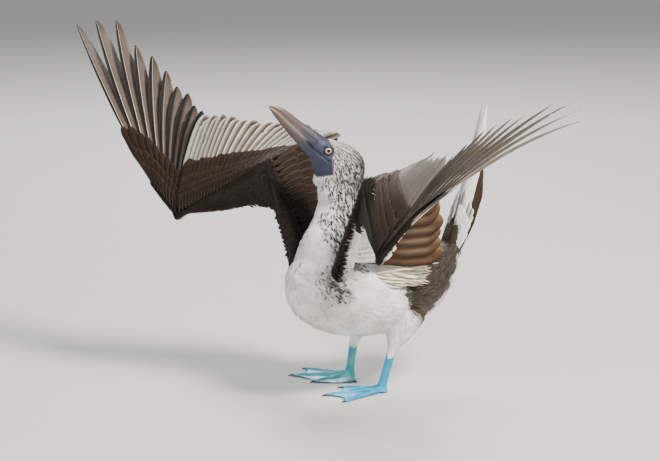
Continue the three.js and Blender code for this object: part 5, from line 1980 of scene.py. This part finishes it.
@dataclass
class Tail:
    """The tail: a folded roof of long pointed feathers, with coverts over and under its base."""

    pairs: int = 7
    shortest: float = 0.52
    grading: float = 0.9
    layer: float = 1.0
    centre_width: float = 19.0
    width: float = 23.0
    rooted: float = 30.0
    root_fan: Pair = (3.0, 11.0)
    tip_fan: Pair = (5.0, 26.0)
    covert_fans: tuple[Pair, ...] = ((3, 13), (6, 24))
    ridge_gap: float = 0.5
    covert_rows: tuple[tuple[int, float, float, float], ...] = (
        (4, 0.42, 17, 2.2),
        (5, 0.32, 15, 3.8),
        (6, 0.22, 13, 5.2),
        (4, 0.34, 16, -9.0),
        (5, 0.24, 14, -10.5),
    )

    def build(self, material: Material) -> Piece:
        """Makes the tail's vanes as one piece."""
        draw = np.random.default_rng(SEED + 900)
        maker = VaneMaker(draw)
        total = 2 * (self.pairs + sum(row[0] for row in self.covert_rows))
        patches = iter(cells(total, 12))
        length = float(np.linalg.norm(Measures.tail_tip - Measures.tail_root))
        made = []
        for side in Side:
            for pair in range(self.pairs):
                share = pair / (self.pairs - 1)
                reach = length * (1 - (1 - self.shortest) * share**self.grading)
                wide = self.centre_width if pair == 0 else self.width
                tier = Tier(1, 1, wide, (0, 0), 0, 1, TAIL_VANE, Coloring.TAIL, rows=32, columns=7)
                sink = self.layer * pair + (0.5 if side is Side.LEFT else 0)
                fans = (self.root_fan, self.tip_fan)
                made += self.feather(side, tier, share, reach, sink, fans, maker, next(patches))
            for pairs, reach_share, wide, raised in self.covert_rows:
                for pair in range(pairs):
                    share = pair / (pairs - 1)
                    tier = Tier(1, 1, wide, (0, 0), 0, 1, COVERT_VANE, Coloring.TAIL_COVERT, rows=14)
                    sink = -raised + 0.4 * pair
                    reach = length * reach_share * (1 - 0.25 * share)
                    fans = self.covert_fans
                    made += self.feather(side, tier, share, reach, sink, fans, maker, next(patches))
        return feather_piece("tail_vanes", made, material)

    def feather(
        self, side: Side, tier: Tier, share: float, reach: float, sink: float,
        fans: tuple[Pair, ...], maker: VaneMaker, cell: Cell,
    ) -> list[tuple[Shell, Array]]:
        """One feather of the tail."""
        tent = Measures.tail_tent
        lead = np.array((math.cos(tent), 0, 0)) - TAIL_FACE * math.sin(tent)
        normal = np.array((math.sin(tent), 0, 0)) + TAIL_FACE * math.cos(tent)
        root_out, tip_out = (lerp(*fan, share) for fan in fans)
        inner = abs(sink) * math.tan(tent) + self.ridge_gap
        start = -self.rooted if tier.coloring is Coloring.TAIL else -8.0

        def place(run: Array, offset: Array, height: Array) -> Array:
            along = lerp(start, reach, run)
            out = np.maximum(lerp(root_out, tip_out, run) + offset, inner)
            spots = Measures.tail_root + TAIL_RISE * along[:, None] + normal * (height - sink)[:, None]
            return mirrored(spots + lead * out[:, None], side)

        return maker.ribbon(tier, share, place, reach, cell)


# Bill and eyes

BILL_RINGS = np.array((
    (10, 11.8, -11.2, -22.8, 12.4),
    (15, 12.0, -10.6, -24.6, 12),
    (28, 11.2, -9.6, -23.2, 10.8),
    (44, 8.9, -8.9, -20.6, 8.8),
    (62, 6.9, -8.2, -18.0, 7),
    (82, 5.8, -6.4, -14.8, 5.4),
    (94, 3.8, -6.0, -12.4, 4.2),
    (101.5, 0.8, -6.6, -10.4, 3.0),
    (106.5, -2.8, -7.3, -8.8, 1.9),
    (109.6, -6.2, -7.7, -8.3, 0.8),
))


@dataclass
class Bill:
    """The two halves of the bill, each a long dagger with a rounded ridge."""

    steps: int = 120
    sides: int = 40
    groove: tuple[Pair, Pair] = ((26, -1.2), (88, -4.6))
    groove_depth: float = 0.7
    lower_width: float = 0.9
    gap: float = 0.5
    plate_line: float = 30.0

    def build(self, material: Material) -> list[Piece]:
        """Makes both halves."""
        return [self.half(True, material), self.half(False, material)]

    def half(self, upper: bool, material: Material) -> Piece:
        """One half: its ridge side is round, its mouth side flat and a little hollow."""
        t = np.linspace(0, 1, self.steps)
        at, culmen, mouth, lower, wide = on_curve(BILL_RINGS, t, even=True).T
        around = np.linspace(0, math.pi, self.sides)
        flat = np.linspace(-1, 1, self.sides // 3)[1:-1]
        bow = np.sin(around) ** 0.8
        reach = np.concatenate([np.sign(np.cos(around)) * np.abs(np.cos(around)) ** 0.85, flat])
        rise = np.concatenate([bow, 0.06 * (1 - flat**2)])
        width = wide if upper else wide * self.lower_width
        edge = mouth + self.gap / 2 if upper else mouth - self.gap / 2
        span = (culmen - edge) if upper else (lower - edge)
        saw = 0.16 * np.sin(t * 260) * ramp(t, 0.4, 0.6)
        height = edge[:, None] + span[:, None] * rise[None] + (saw[:, None] * (rise[None] < 0.08))
        out = width[:, None] * reach[None]
        forward = np.repeat(at[:, None], out.shape[1], axis=1)
        if upper:
            (start, high), (stop, low) = self.groove
            line = np.interp(at, (start, stop), (high, low))[:, None]
            depth = self.groove_depth * ramp(at, start - 4, start + 3) * (1 - ramp(at, stop - 14, stop))
            share = depth[:, None] / np.maximum(width[:, None], 1)
            out *= 1 - share * np.exp(-(((height - line) / 0.9) ** 2)) * (np.abs(reach) > 0.3)
        plate = 0.35 * np.exp(-(((forward - self.plate_line) / 1.2) ** 2)) * (rise[None] > 0.1)
        out -= np.sign(out) * plate * 0.5
        spots = Measures.between_eyes + forward[..., None] * HEAD_FORWARD + height[..., None] * HEAD_UP
        spots = spots + out[..., None] * HEAD_LEFT
        tone = self.tone(forward, height - edge[:, None], np.abs(span)[:, None], upper)
        name = "bill_upper_horn" if upper else "bill_lower_horn"
        return capped(spots, {"tone": tone}).to_object(name, material)

    def tone(self, forward: Array, height: Array, span: Array, upper: bool) -> Array:
        """The horn's colour: grey-blue, and flesh-coloured along the edges and towards the tip."""
        share = ramp(forward, 22, 80)[..., None]
        base = lerp(srgb("4a4953"), srgb("6e5d57"), share)
        up = np.abs(height) / np.maximum(span, 1)
        ridge = ramp(up, 0.72, 1.0) * (1 - ramp(forward, 60, 100))
        base = lerp(base, srgb("41444e"), (0.6 * ridge)[..., None])
        edge = (1 - ramp(up, 0.0, 0.16)) * ramp(forward, 28, 44)
        base = lerp(base, srgb("eaded0"), (0.85 * edge)[..., None])
        root = 1 - ramp(forward, 14, 36)
        return lerp(base, Palette.face, (0.8 * root)[..., None])


@dataclass
class Eye:
    """One eye: a glossy ball and the ring of its lid."""

    side: Side
    lid_radius: float = 5.7
    lid_thick: float = 0.95
    lid_proud: float = 4.9

    def spun(self, along: Array, off: Array, turn: Array) -> Array:
        """Points a way along the eye's axis, a distance off it and an angle round it."""
        look = unit(HEAD_LEFT * self.side.value + HEAD_FORWARD * 0.2 + HEAD_UP * 0.03)
        first = unit(np.cross(look, HEAD_UP))
        centre = head_point(0, 0, Measures.eye_out * self.side.value)
        spots = centre + along[..., None] * look + (off * np.cos(turn))[..., None] * first
        return spots + (off * np.sin(turn))[..., None] * np.cross(look, first)

    def ball(self, material: Material) -> Piece:
        """The eyeball, with a raised cornea."""
        polar = np.linspace(0, math.pi, 49)[:, None]
        round_ = turns(64)[None, :]
        radius = Measures.eye_radius + 0.35 * np.exp(-((polar / 0.5) ** 2))
        along, off = radius * np.cos(polar), radius * np.sin(polar)
        spots = self.spun(along + 0 * round_, off, round_)
        away = np.where(along > 0, off, 12.0) + 0 * round_
        shell = capped(spots[1:-1], {"off_axis": away[1:-1]})
        return shell.to_object(f"eyeball_{self.side.word}", material)

    def lid(self) -> Shell:
        """The lid's ring, with small folds."""
        turn = turns(72)[:, None]
        round_ = turns(14)[None, :]
        thick = self.lid_thick * (1 + 0.12 * np.sin(turn * 24))
        squash = 1 - 0.05 * np.abs(np.sin(turn))
        reach = self.lid_radius * squash + thick * np.cos(round_)
        proud = self.lid_proud + thick * np.sin(round_)
        spots = self.spun(proud, reach, turn)
        grid = grid_faces(73, 14, wrap=True)
        points = spots.reshape(-1, 3)
        faces = grid % len(points)
        tone = np.array(np.broadcast_to(srgb("39415a"), (len(points), 4)))
        return Shell(points, [faces], {"tone": tone}).turned_out()


# Legs and feet


@dataclass(frozen=True)
class Toe:
    """One toe: its length, its angle from the foot's heading towards the outside, and its thickness."""

    length: float
    angle: float
    root: float
    tip: float
    joints: int


TOES = (
    Toe(84, 31, 4.6, 2.4, 4),
    Toe(86, 0, 5.0, 2.6, 3),
    Toe(62, -36, 4.6, 2.4, 2),
    Toe(29, -112, 3.8, 2.0, 1),
)
TOE_STATIONS = (0, 0.3, 0.62, 0.9, 1)
TOE_BREADTH = (1.15, 1, 0.95, 0.9, 0.7)
TOE_HEIGHT = (2.0, 1.25, 1, 0.85, 0.6)
CLAW_ROWS = (
    (-3, 1.9, 2.3, 1.0, 1.8),
    (1, 1.7, 2.0, 1.0, 2.0),
    (4.5, 1.3, 1.4, 0.9, 1.9),
    (8.5, 0.35, 0.4, 0.35, 0.9),
)
TARSUS_ROWS = [
    (-0.14, 3.4, 4.4), (0.02, 4.7, 6.0), (0.14, 4.6, 6.2),
    (0.5, 4.5, 6.1), (0.85, 4.8, 6.3), (1.0, 5.8, 7.4),
]
INSTEP_ROWS = ((0, 8.6, 11, 8.6), (0.35, 6.8, 8.8, 8), (0.75, 5.8, 7.2, 7.2), (1, 4.6, 6.0, 6.0))
CLEAR = 0.05


def grounded(shell: Shell) -> Shell:
    """A shell with its underside held just clear of the floor."""
    shell.points[:, 2] = np.maximum(shell.points[:, 2], CLEAR)
    return shell


@dataclass
class Foot:
    """A webbed foot: four toes with knuckles and claws, and the webs that join them all."""

    leg: Leg
    toe_height: float = 4.2
    web_thick: float = 1.5
    scallop: float = 0.86
    web_height: float = 2.6
    sag: float = 1.0
    joint_swell: float = 0.55

    def __post_init__(self) -> None:
        """Works out the foot's centre and directions."""
        turn = math.radians(self.leg.turn)
        self.heading = np.array((math.sin(turn), -math.cos(turn), 0.0))
        self.outward = np.array((math.cos(turn), math.sin(turn), 0.0)) * self.leg.side.value
        self.centre = np.array((self.leg.ankle[0], self.leg.ankle[1], 0.0))

    def lift(self, share: float) -> float:
        """The height of a toe's axis, which sinks towards its tip."""
        return self.toe_height * (1 - 0.35 * share)

    def along(self, toe: Toe) -> Array:
        """The way a toe points."""
        angle = math.radians(toe.angle)
        return self.heading * math.cos(angle) + self.outward * math.sin(angle)

    def toe_shell(self, toe: Toe) -> Shell:
        """One toe, swollen at its joints."""
        way = self.along(toe)
        rings = []
        for share, wide, high in zip(TOE_STATIONS, TOE_BREADTH, TOE_HEIGHT):
            size, lift = lerp(toe.root, toe.tip, share), self.lift(share)
            at = self.centre + way * (toe.length * share) + UP * lift
            rings.append(Ring(at, size * wide, size * high * 0.9, lift * 0.98))
        limb = Limb(rings, UP)

        def swell(t: Array) -> Array:
            knuckles = np.cos(t * math.pi * (toe.joints + 0.5)) ** 8
            folds = np.sin(t * toe.length * 1.9) ** 4
            return self.joint_swell * knuckles * ramp(t, 0.12, 0.25) + 0.16 * folds

        return grounded(limb.shell(90, 22, swell))

    def claw_shell(self, toe: Toe) -> Shell:
        """A toe's curved claw."""
        way = self.along(toe)
        size = toe.tip / 2.4
        rings = []
        for reach, wide, high, low, rise in CLAW_ROWS:
            at = self.centre + way * (toe.length + reach * size) + UP * rise
            rings.append(Ring(at, wide * size, high * size, low * size))
        return grounded(Limb(rings, UP).shell(24, 16))

    def web_shell(self, first: Toe, second: Toe) -> Shell:
        """The web between two toes, which sags between them and is gathered in fine folds."""
        rows, columns = 44, 36
        out, across = np.meshgrid(np.linspace(0.02, 1, rows), np.linspace(0, 1, columns), indexing="ij")
        angle = np.radians(lerp(first.angle, second.angle, across))
        dip = 1 - (1 - self.scallop) * np.sin(across * math.pi)
        length = lerp(first.length, second.length, across) * 0.97 * dip * out
        ways = np.cos(angle)[..., None] * self.heading + np.sin(angle)[..., None] * self.outward
        flat = self.centre + ways * length[..., None]
        pull = np.sin(across * math.pi)
        folds = 0.28 * np.sin(across * 26 + out * 3) * pull * out + 0.2 * np.sin(out * 40 + across * 9) * pull
        height = self.web_height + 1.2 * (1 - out) - self.sag * pull * out + folds
        half = self.web_thick / 2 * (1 - 0.35 * out)
        top = flat + UP * np.maximum(height + half, 0.5)[..., None]
        low = flat + UP * np.maximum(height - half, CLEAR)[..., None]
        return sheet(top, low)

    def tarsus_shells(self) -> list[Shell]:
        """The bare leg from the hock to the ankle, and the instep."""
        leg = self.leg
        tarsus = Limb(rings_between(leg.hock, leg.ankle, TARSUS_ROWS), self.heading)
        start, end = self.centre + UP * 1.5, self.centre + UP * 16
        rings = [Ring(lerp(start, end, share), wide, high, low) for share, wide, high, low in INSTEP_ROWS]
        instep = Limb(rings, self.heading)
        return [tarsus.shell(70, 36, lambda t: 0.12 * np.sin(t * 90) ** 2), instep.shell(26, 36)]

    def build(self, skin: Material, horn: Material) -> list[Piece]:
        """Makes the foot's skin and its claws."""
        word = self.leg.side.word
        toes = [self.toe_shell(toe) for toe in TOES]
        webs = [self.web_shell(first, second) for first, second in zip(TOES, TOES[1:])]
        tarsus = self.tarsus_shells()
        shells = []
        for group, paleness in ((toes, 0.25), (webs, 0.7), (tarsus, 0.1)):
            for shell in group:
                tone = self.tone(shell.points, paleness)
                shells.append(Shell(shell.points, shell.faces, {"tone": tone}))
        foot = Shell.joined(shells).to_object(f"foot_skin_{word}", skin)
        claws = []
        for toe in TOES:
            shell = self.claw_shell(toe)
            tone = np.array(np.broadcast_to(srgb("4b5257"), (len(shell.points), 4)))
            claws.append(Shell(shell.points, shell.faces, {"tone": tone}))
        return [foot, Shell.joined(claws).to_object(f"claws_{word}", horn)]

    def tone(self, points: Array, paleness: float) -> Array:
        """The blue of the foot, paler on the webs and uneven all over, with painted light: the far foot paler
        and greener as if sunlit, the near one a deeper blue as if in shade.
        """
        uneven = 0.5 + 0.35 * soft_noise(points, 22, SEED + 5)
        # Painted light: each side has its own copy of the blue, sunlit on the far foot and shaded on the near
        # one.
        near = self.leg.side is Side.LEFT
        blue = (Palette.blue if near else Palette.aqua)[None]
        pale = srgb("7fc6e2") if near else srgb("c4ecee")
        blue = blend(blue, pale, np.clip(paleness * uneven * 1.4, 0, 1))
        return blend(blue, srgb("2f87ab"), 0.3 * np.clip(1 - uneven, 0, 1))


class ScuteTree(GeometryTree):
    """Sets scutes on the front of the leg and on the toes."""

    def __init__(self) -> None:
        """Builds the tree."""
        super().__init__("set_scutes", {"Scute": "Object"})
        info = self.add("GeometryNodeObjectInfo", {"Object": self.given["Scute"]})
        sizes = {0: self.named("scute_size"), "Scale": self.chance(0.9, 1.08, 5)}
        feeds = {
            "Points": self.given["Base"],
            "Instance": info.outputs["Geometry"],
            "Rotation": self.aligned(self.named("outward"), self.named("down")),
            "Scale": self.add("ShaderNodeVectorMath", sizes, operation="SCALE").outputs[0],
        }
        self.finish(self.add("GeometryNodeInstanceOnPoints", feeds).outputs["Instances"])


@dataclass
class Scutes:
    """The scutes down the front of the leg and along the tops of the toes."""

    leg_rows: int = 26
    per_row: int = 3

    def plate(self) -> Shell:
        """One scute: a low domed plate a unit across, higher towards the next."""
        angle = turns(10)[None, :]
        reach, height = np.array(((0.08, 0.34), (0.6, 0.26), (1.0, -0.12), (0.9, -0.2))).T[..., None]
        out, up = np.cos(angle), np.sin(angle)
        return capped(np.stack([0.5 * reach * out, 0.55 * reach * up, height + 0.05 * up], -1))

    def roots(self, foot: Foot) -> tuple[Array, Array, Array, Array]:
        """Where the scutes sit: place, outward, downward and size."""
        spots, outward, down, sizes = [], [], [], []
        leg = foot.leg
        run = unit(leg.ankle - leg.hock)
        aside = unit(np.cross(foot.heading, run))
        front = np.cross(run, aside)
        for row in range(self.leg_rows):
            share = lerp(0.06, 0.98, row / (self.leg_rows - 1))
            for column in range(self.per_row):
                angle = math.radians(lerp(-52, 52, column / (self.per_row - 1)))
                out = front * math.cos(angle) + aside * math.sin(angle)
                ahead, sideways = front * (6.0 * math.cos(angle)), aside * (4.5 * math.sin(angle))
                spots.append(lerp(leg.hock, leg.ankle, share) + ahead + sideways)
                outward.append(out)
                down.append(run)
                sizes.append((4.2, 2.6, 1.3))
        for toe in TOES:
            way = foot.along(toe)
            count = int(toe.length / 2.3)
            for index in range(1, count):
                share = index / count
                size = lerp(toe.root, toe.tip, share)
                tall = float(np.interp(share, TOE_STATIONS, TOE_HEIGHT))
                rise = foot.lift(share) + size * tall * 0.9
                spots.append(foot.centre + way * (toe.length * share) + UP * rise)
                outward.append(UP)
                down.append(way)
                sizes.append((size * 1.5, 2.7, 1.0))
        return tuple(np.array(rows, float) for rows in (spots, outward, down, sizes))

    def build(self, foot: Foot, material: Material) -> Piece:
        """Sets the scutes of one leg."""
        spots, outward, down, sizes = self.roots(foot)
        values = {"outward": outward, "down": down, "scute_size": sizes * MM}
        name = f"scutes_{foot.leg.side.word}"
        base = Shell(spots, [], values).to_object(name, None, smooth=False)
        scute, tree = template("scute", self.plate()), ScuteTree()
        made = tree.apply(base, name, {"Scute": scute, "Material": material, "Seed": SEED})
        for key in ("outward", "down", "scute_size"):
            if key in made.data.attributes:
                made.data.attributes.remove(made.data.attributes[key])
        # The scutes take the foot's tone with its painted light: sunlit blue on the far leg, shaded blue on
        # the near one.
        write_value(made.data, "tone", foot.tone(read_points(made.data), 0.05))
        discard(scute)
        bpy.data.node_groups.remove(tree.tree)
        return made


# Studio


def looking(at: Array, way: Array) -> Matrix:
    """The place and turn of a camera or light that stands at a point and looks a given way."""
    return Matrix.Translation(Vector(at)) @ Vector(way).to_track_quat("-Z", "Y").to_matrix().to_4x4()


@dataclass(frozen=True)
class Camera:
    """The photograph's point of view: its direction, distance and lens, worked out on the feet."""

    azimuth: float = math.radians(48)
    elevation: float = math.radians(14)
    distance: float = 4600.0
    focal_pixels: float = 3036.0
    image: tuple[int, int] = (660, 461)
    origin_pixel: Pair = (367.0, 387.0)

    def build(self) -> None:
        """Makes the camera and gives it to the scene."""
        level = np.array((math.sin(self.azimuth), -math.cos(self.azimuth), 0.0))
        towards = level * math.cos(self.elevation) + UP * math.sin(self.elevation)
        right = np.array((math.cos(self.azimuth), math.sin(self.azimuth), 0.0))
        up = np.cross(towards, right)
        middle = np.array(self.image) / 2
        aside = right * (self.origin_pixel[0] - middle[0]) - up * (self.origin_pixel[1] - middle[1])
        look = unit(-towards - aside / self.focal_pixels)
        lens = bpy.data.cameras.new("camera")
        lens.sensor_width = 36.0
        lens.lens = self.focal_pixels * lens.sensor_width / self.image[0]
        lens.clip_start, lens.clip_end = 0.1, 50.0
        made = placed("camera", lens)
        made.matrix_world = looking(towards * self.distance * MM + SHIFT, look)
        bpy.context.scene.camera = made


@dataclass(frozen=True)
class Lamp:
    """One soft area light, aimed at the bird."""

    name: str
    at: Triple
    size: float
    power: float
    colour: Triple

    def build(self, target: Array) -> None:
        """Makes the light."""
        light = bpy.data.lights.new(self.name, "AREA")
        light.shape = "DISK"
        light.size = self.size
        light.energy = self.power
        light.color = self.colour
        made = placed(self.name, light)
        made.matrix_world = looking(np.array(self.at), target - np.array(self.at))


@dataclass
class Studio:
    """A pale floor, soft lights and a pale sky."""

    reach: float = 6.0
    lamps: tuple[Lamp, ...] = (
        Lamp("key", (2.0, 0.3, 2.8), 1.2, 150.0, (1.0, 0.96, 0.9)),
        Lamp("fill", (0.4, -3.0, 1.6), 2.4, 34.0, (0.93, 0.96, 1.0)),
        Lamp("rim", (-2.2, 1.6, 2.2), 1.4, 60.0, (0.98, 0.99, 1.0)),
    )
    look: str = "AgX - Medium High Contrast"
    sky: tuple[float, float, float, float] = (0.86, 0.9, 0.95, 1.0)
    sky_strength: float = 0.4

    def build(self, floor: FloorFinish) -> None:
        """Makes the floor, the lights and the sky."""
        mesh = bpy.data.meshes.new("studio_floor")
        corners = [(x * self.reach, y * self.reach, 0) for x, y in ((-1, -1), (1, -1), (1, 1), (-1, 1))]
        mesh.from_pydata(corners, [], [(0, 1, 2, 3)])
        mesh.materials.append(floor.material())
        placed("studio_floor", mesh)
        target = np.array((0.0, 0.0, 0.25)) + SHIFT
        for lamp in self.lamps:
            lamp.build(target)
        world = bpy.data.worlds.new("sky")
        world.use_nodes = True
        background = world.node_tree.nodes["Background"]
        background.inputs["Color"].default_value = self.sky
        background.inputs["Strength"].default_value = self.sky_strength
        bpy.context.scene.world = world
        bpy.context.scene.view_settings.look = self.look


# The whole bird


def log_piece(made: Piece) -> None:
    """Logs a piece and its number of triangles."""
    triangles = sum(len(face.vertices) - 2 for face in made.data.polygons)
    LOG.info("%s: %d triangles", made.name, triangles)


def mount(made: Piece, slot: str, *nodes: str) -> None:
    """Logs a piece, rides it with the body, and hides the nodes it stands for."""
    log_piece(made)
    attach(made, "root")
    if nodes:
        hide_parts(*nodes)


def main() -> None:
    """Builds the bird, piece by piece, then the studio."""
    LOG.info("frame shift %s", SHIFT)
    feather = FeatherFinish("feather")
    skin = Skin().build(SkinFinish("skin_finish", roughness=0.55))
    mount(skin, "body_plumage", "torso", "neck", "head", "thigh_left", "thigh_right")
    for piece in Coat().build(skin, FeatherFinish("down", barbs=9.0, barb_slant=2.0, sheen=0.12)):
        mount(piece, "head_plumage" if piece.name in ("coat_head", "coat_neck") else "body_plumage")
    vane_finish = feather.material()
    for side in Side:
        mount(Plume().build(side, vane_finish), "body_plumage")
        for piece, part in zip(Wing(side).build(vane_finish), ("upper", "middle", "hand")):
            mount(piece, "wing_feathers", f"wing_{part}_{side.word}")
    mount(Tail().build(vane_finish), "tail_feathers", "tail")
    horn = HornFinish("bill_horn").material()
    for piece, node in zip(Bill().build(horn), ("bill_upper", "bill_lower")):
        mount(piece, "bill_horn", node)
    glass = EyeFinish("eye_finish").material()
    for side in Side:
        mount(Eye(side).ball(glass), "eye", f"eye_{side.word}")
    bare = SkinFinish("lid_skin", roughness=0.45).material()
    mount(Shell.joined([Eye(side).lid() for side in Side]).to_object("eyelids", bare), "head_plumage")
    web = SkinFinish("foot_skin", roughness=0.42, pores=1300.0).material()
    claw = HornFinish("claw_horn", streaks=500.0).material()
    for leg in LEGS:
        foot = Foot(leg)
        skin_piece, claws = foot.build(web, claw)
        mount(skin_piece, "leg_skin", f"leg_{leg.side.word}", f"foot_{leg.side.word}")
        mount(claws, "leg_skin")
        mount(Scutes().build(foot, web), "leg_skin")
    Studio().build(FloorFinish("studio_pale"))
    Camera().build()


def plain(box: tuple) -> list[list[float]]:
    """A box as plain lists."""
    return [[float(value) for value in corner] for corner in box]


if __name__ == "__main__":
    main()
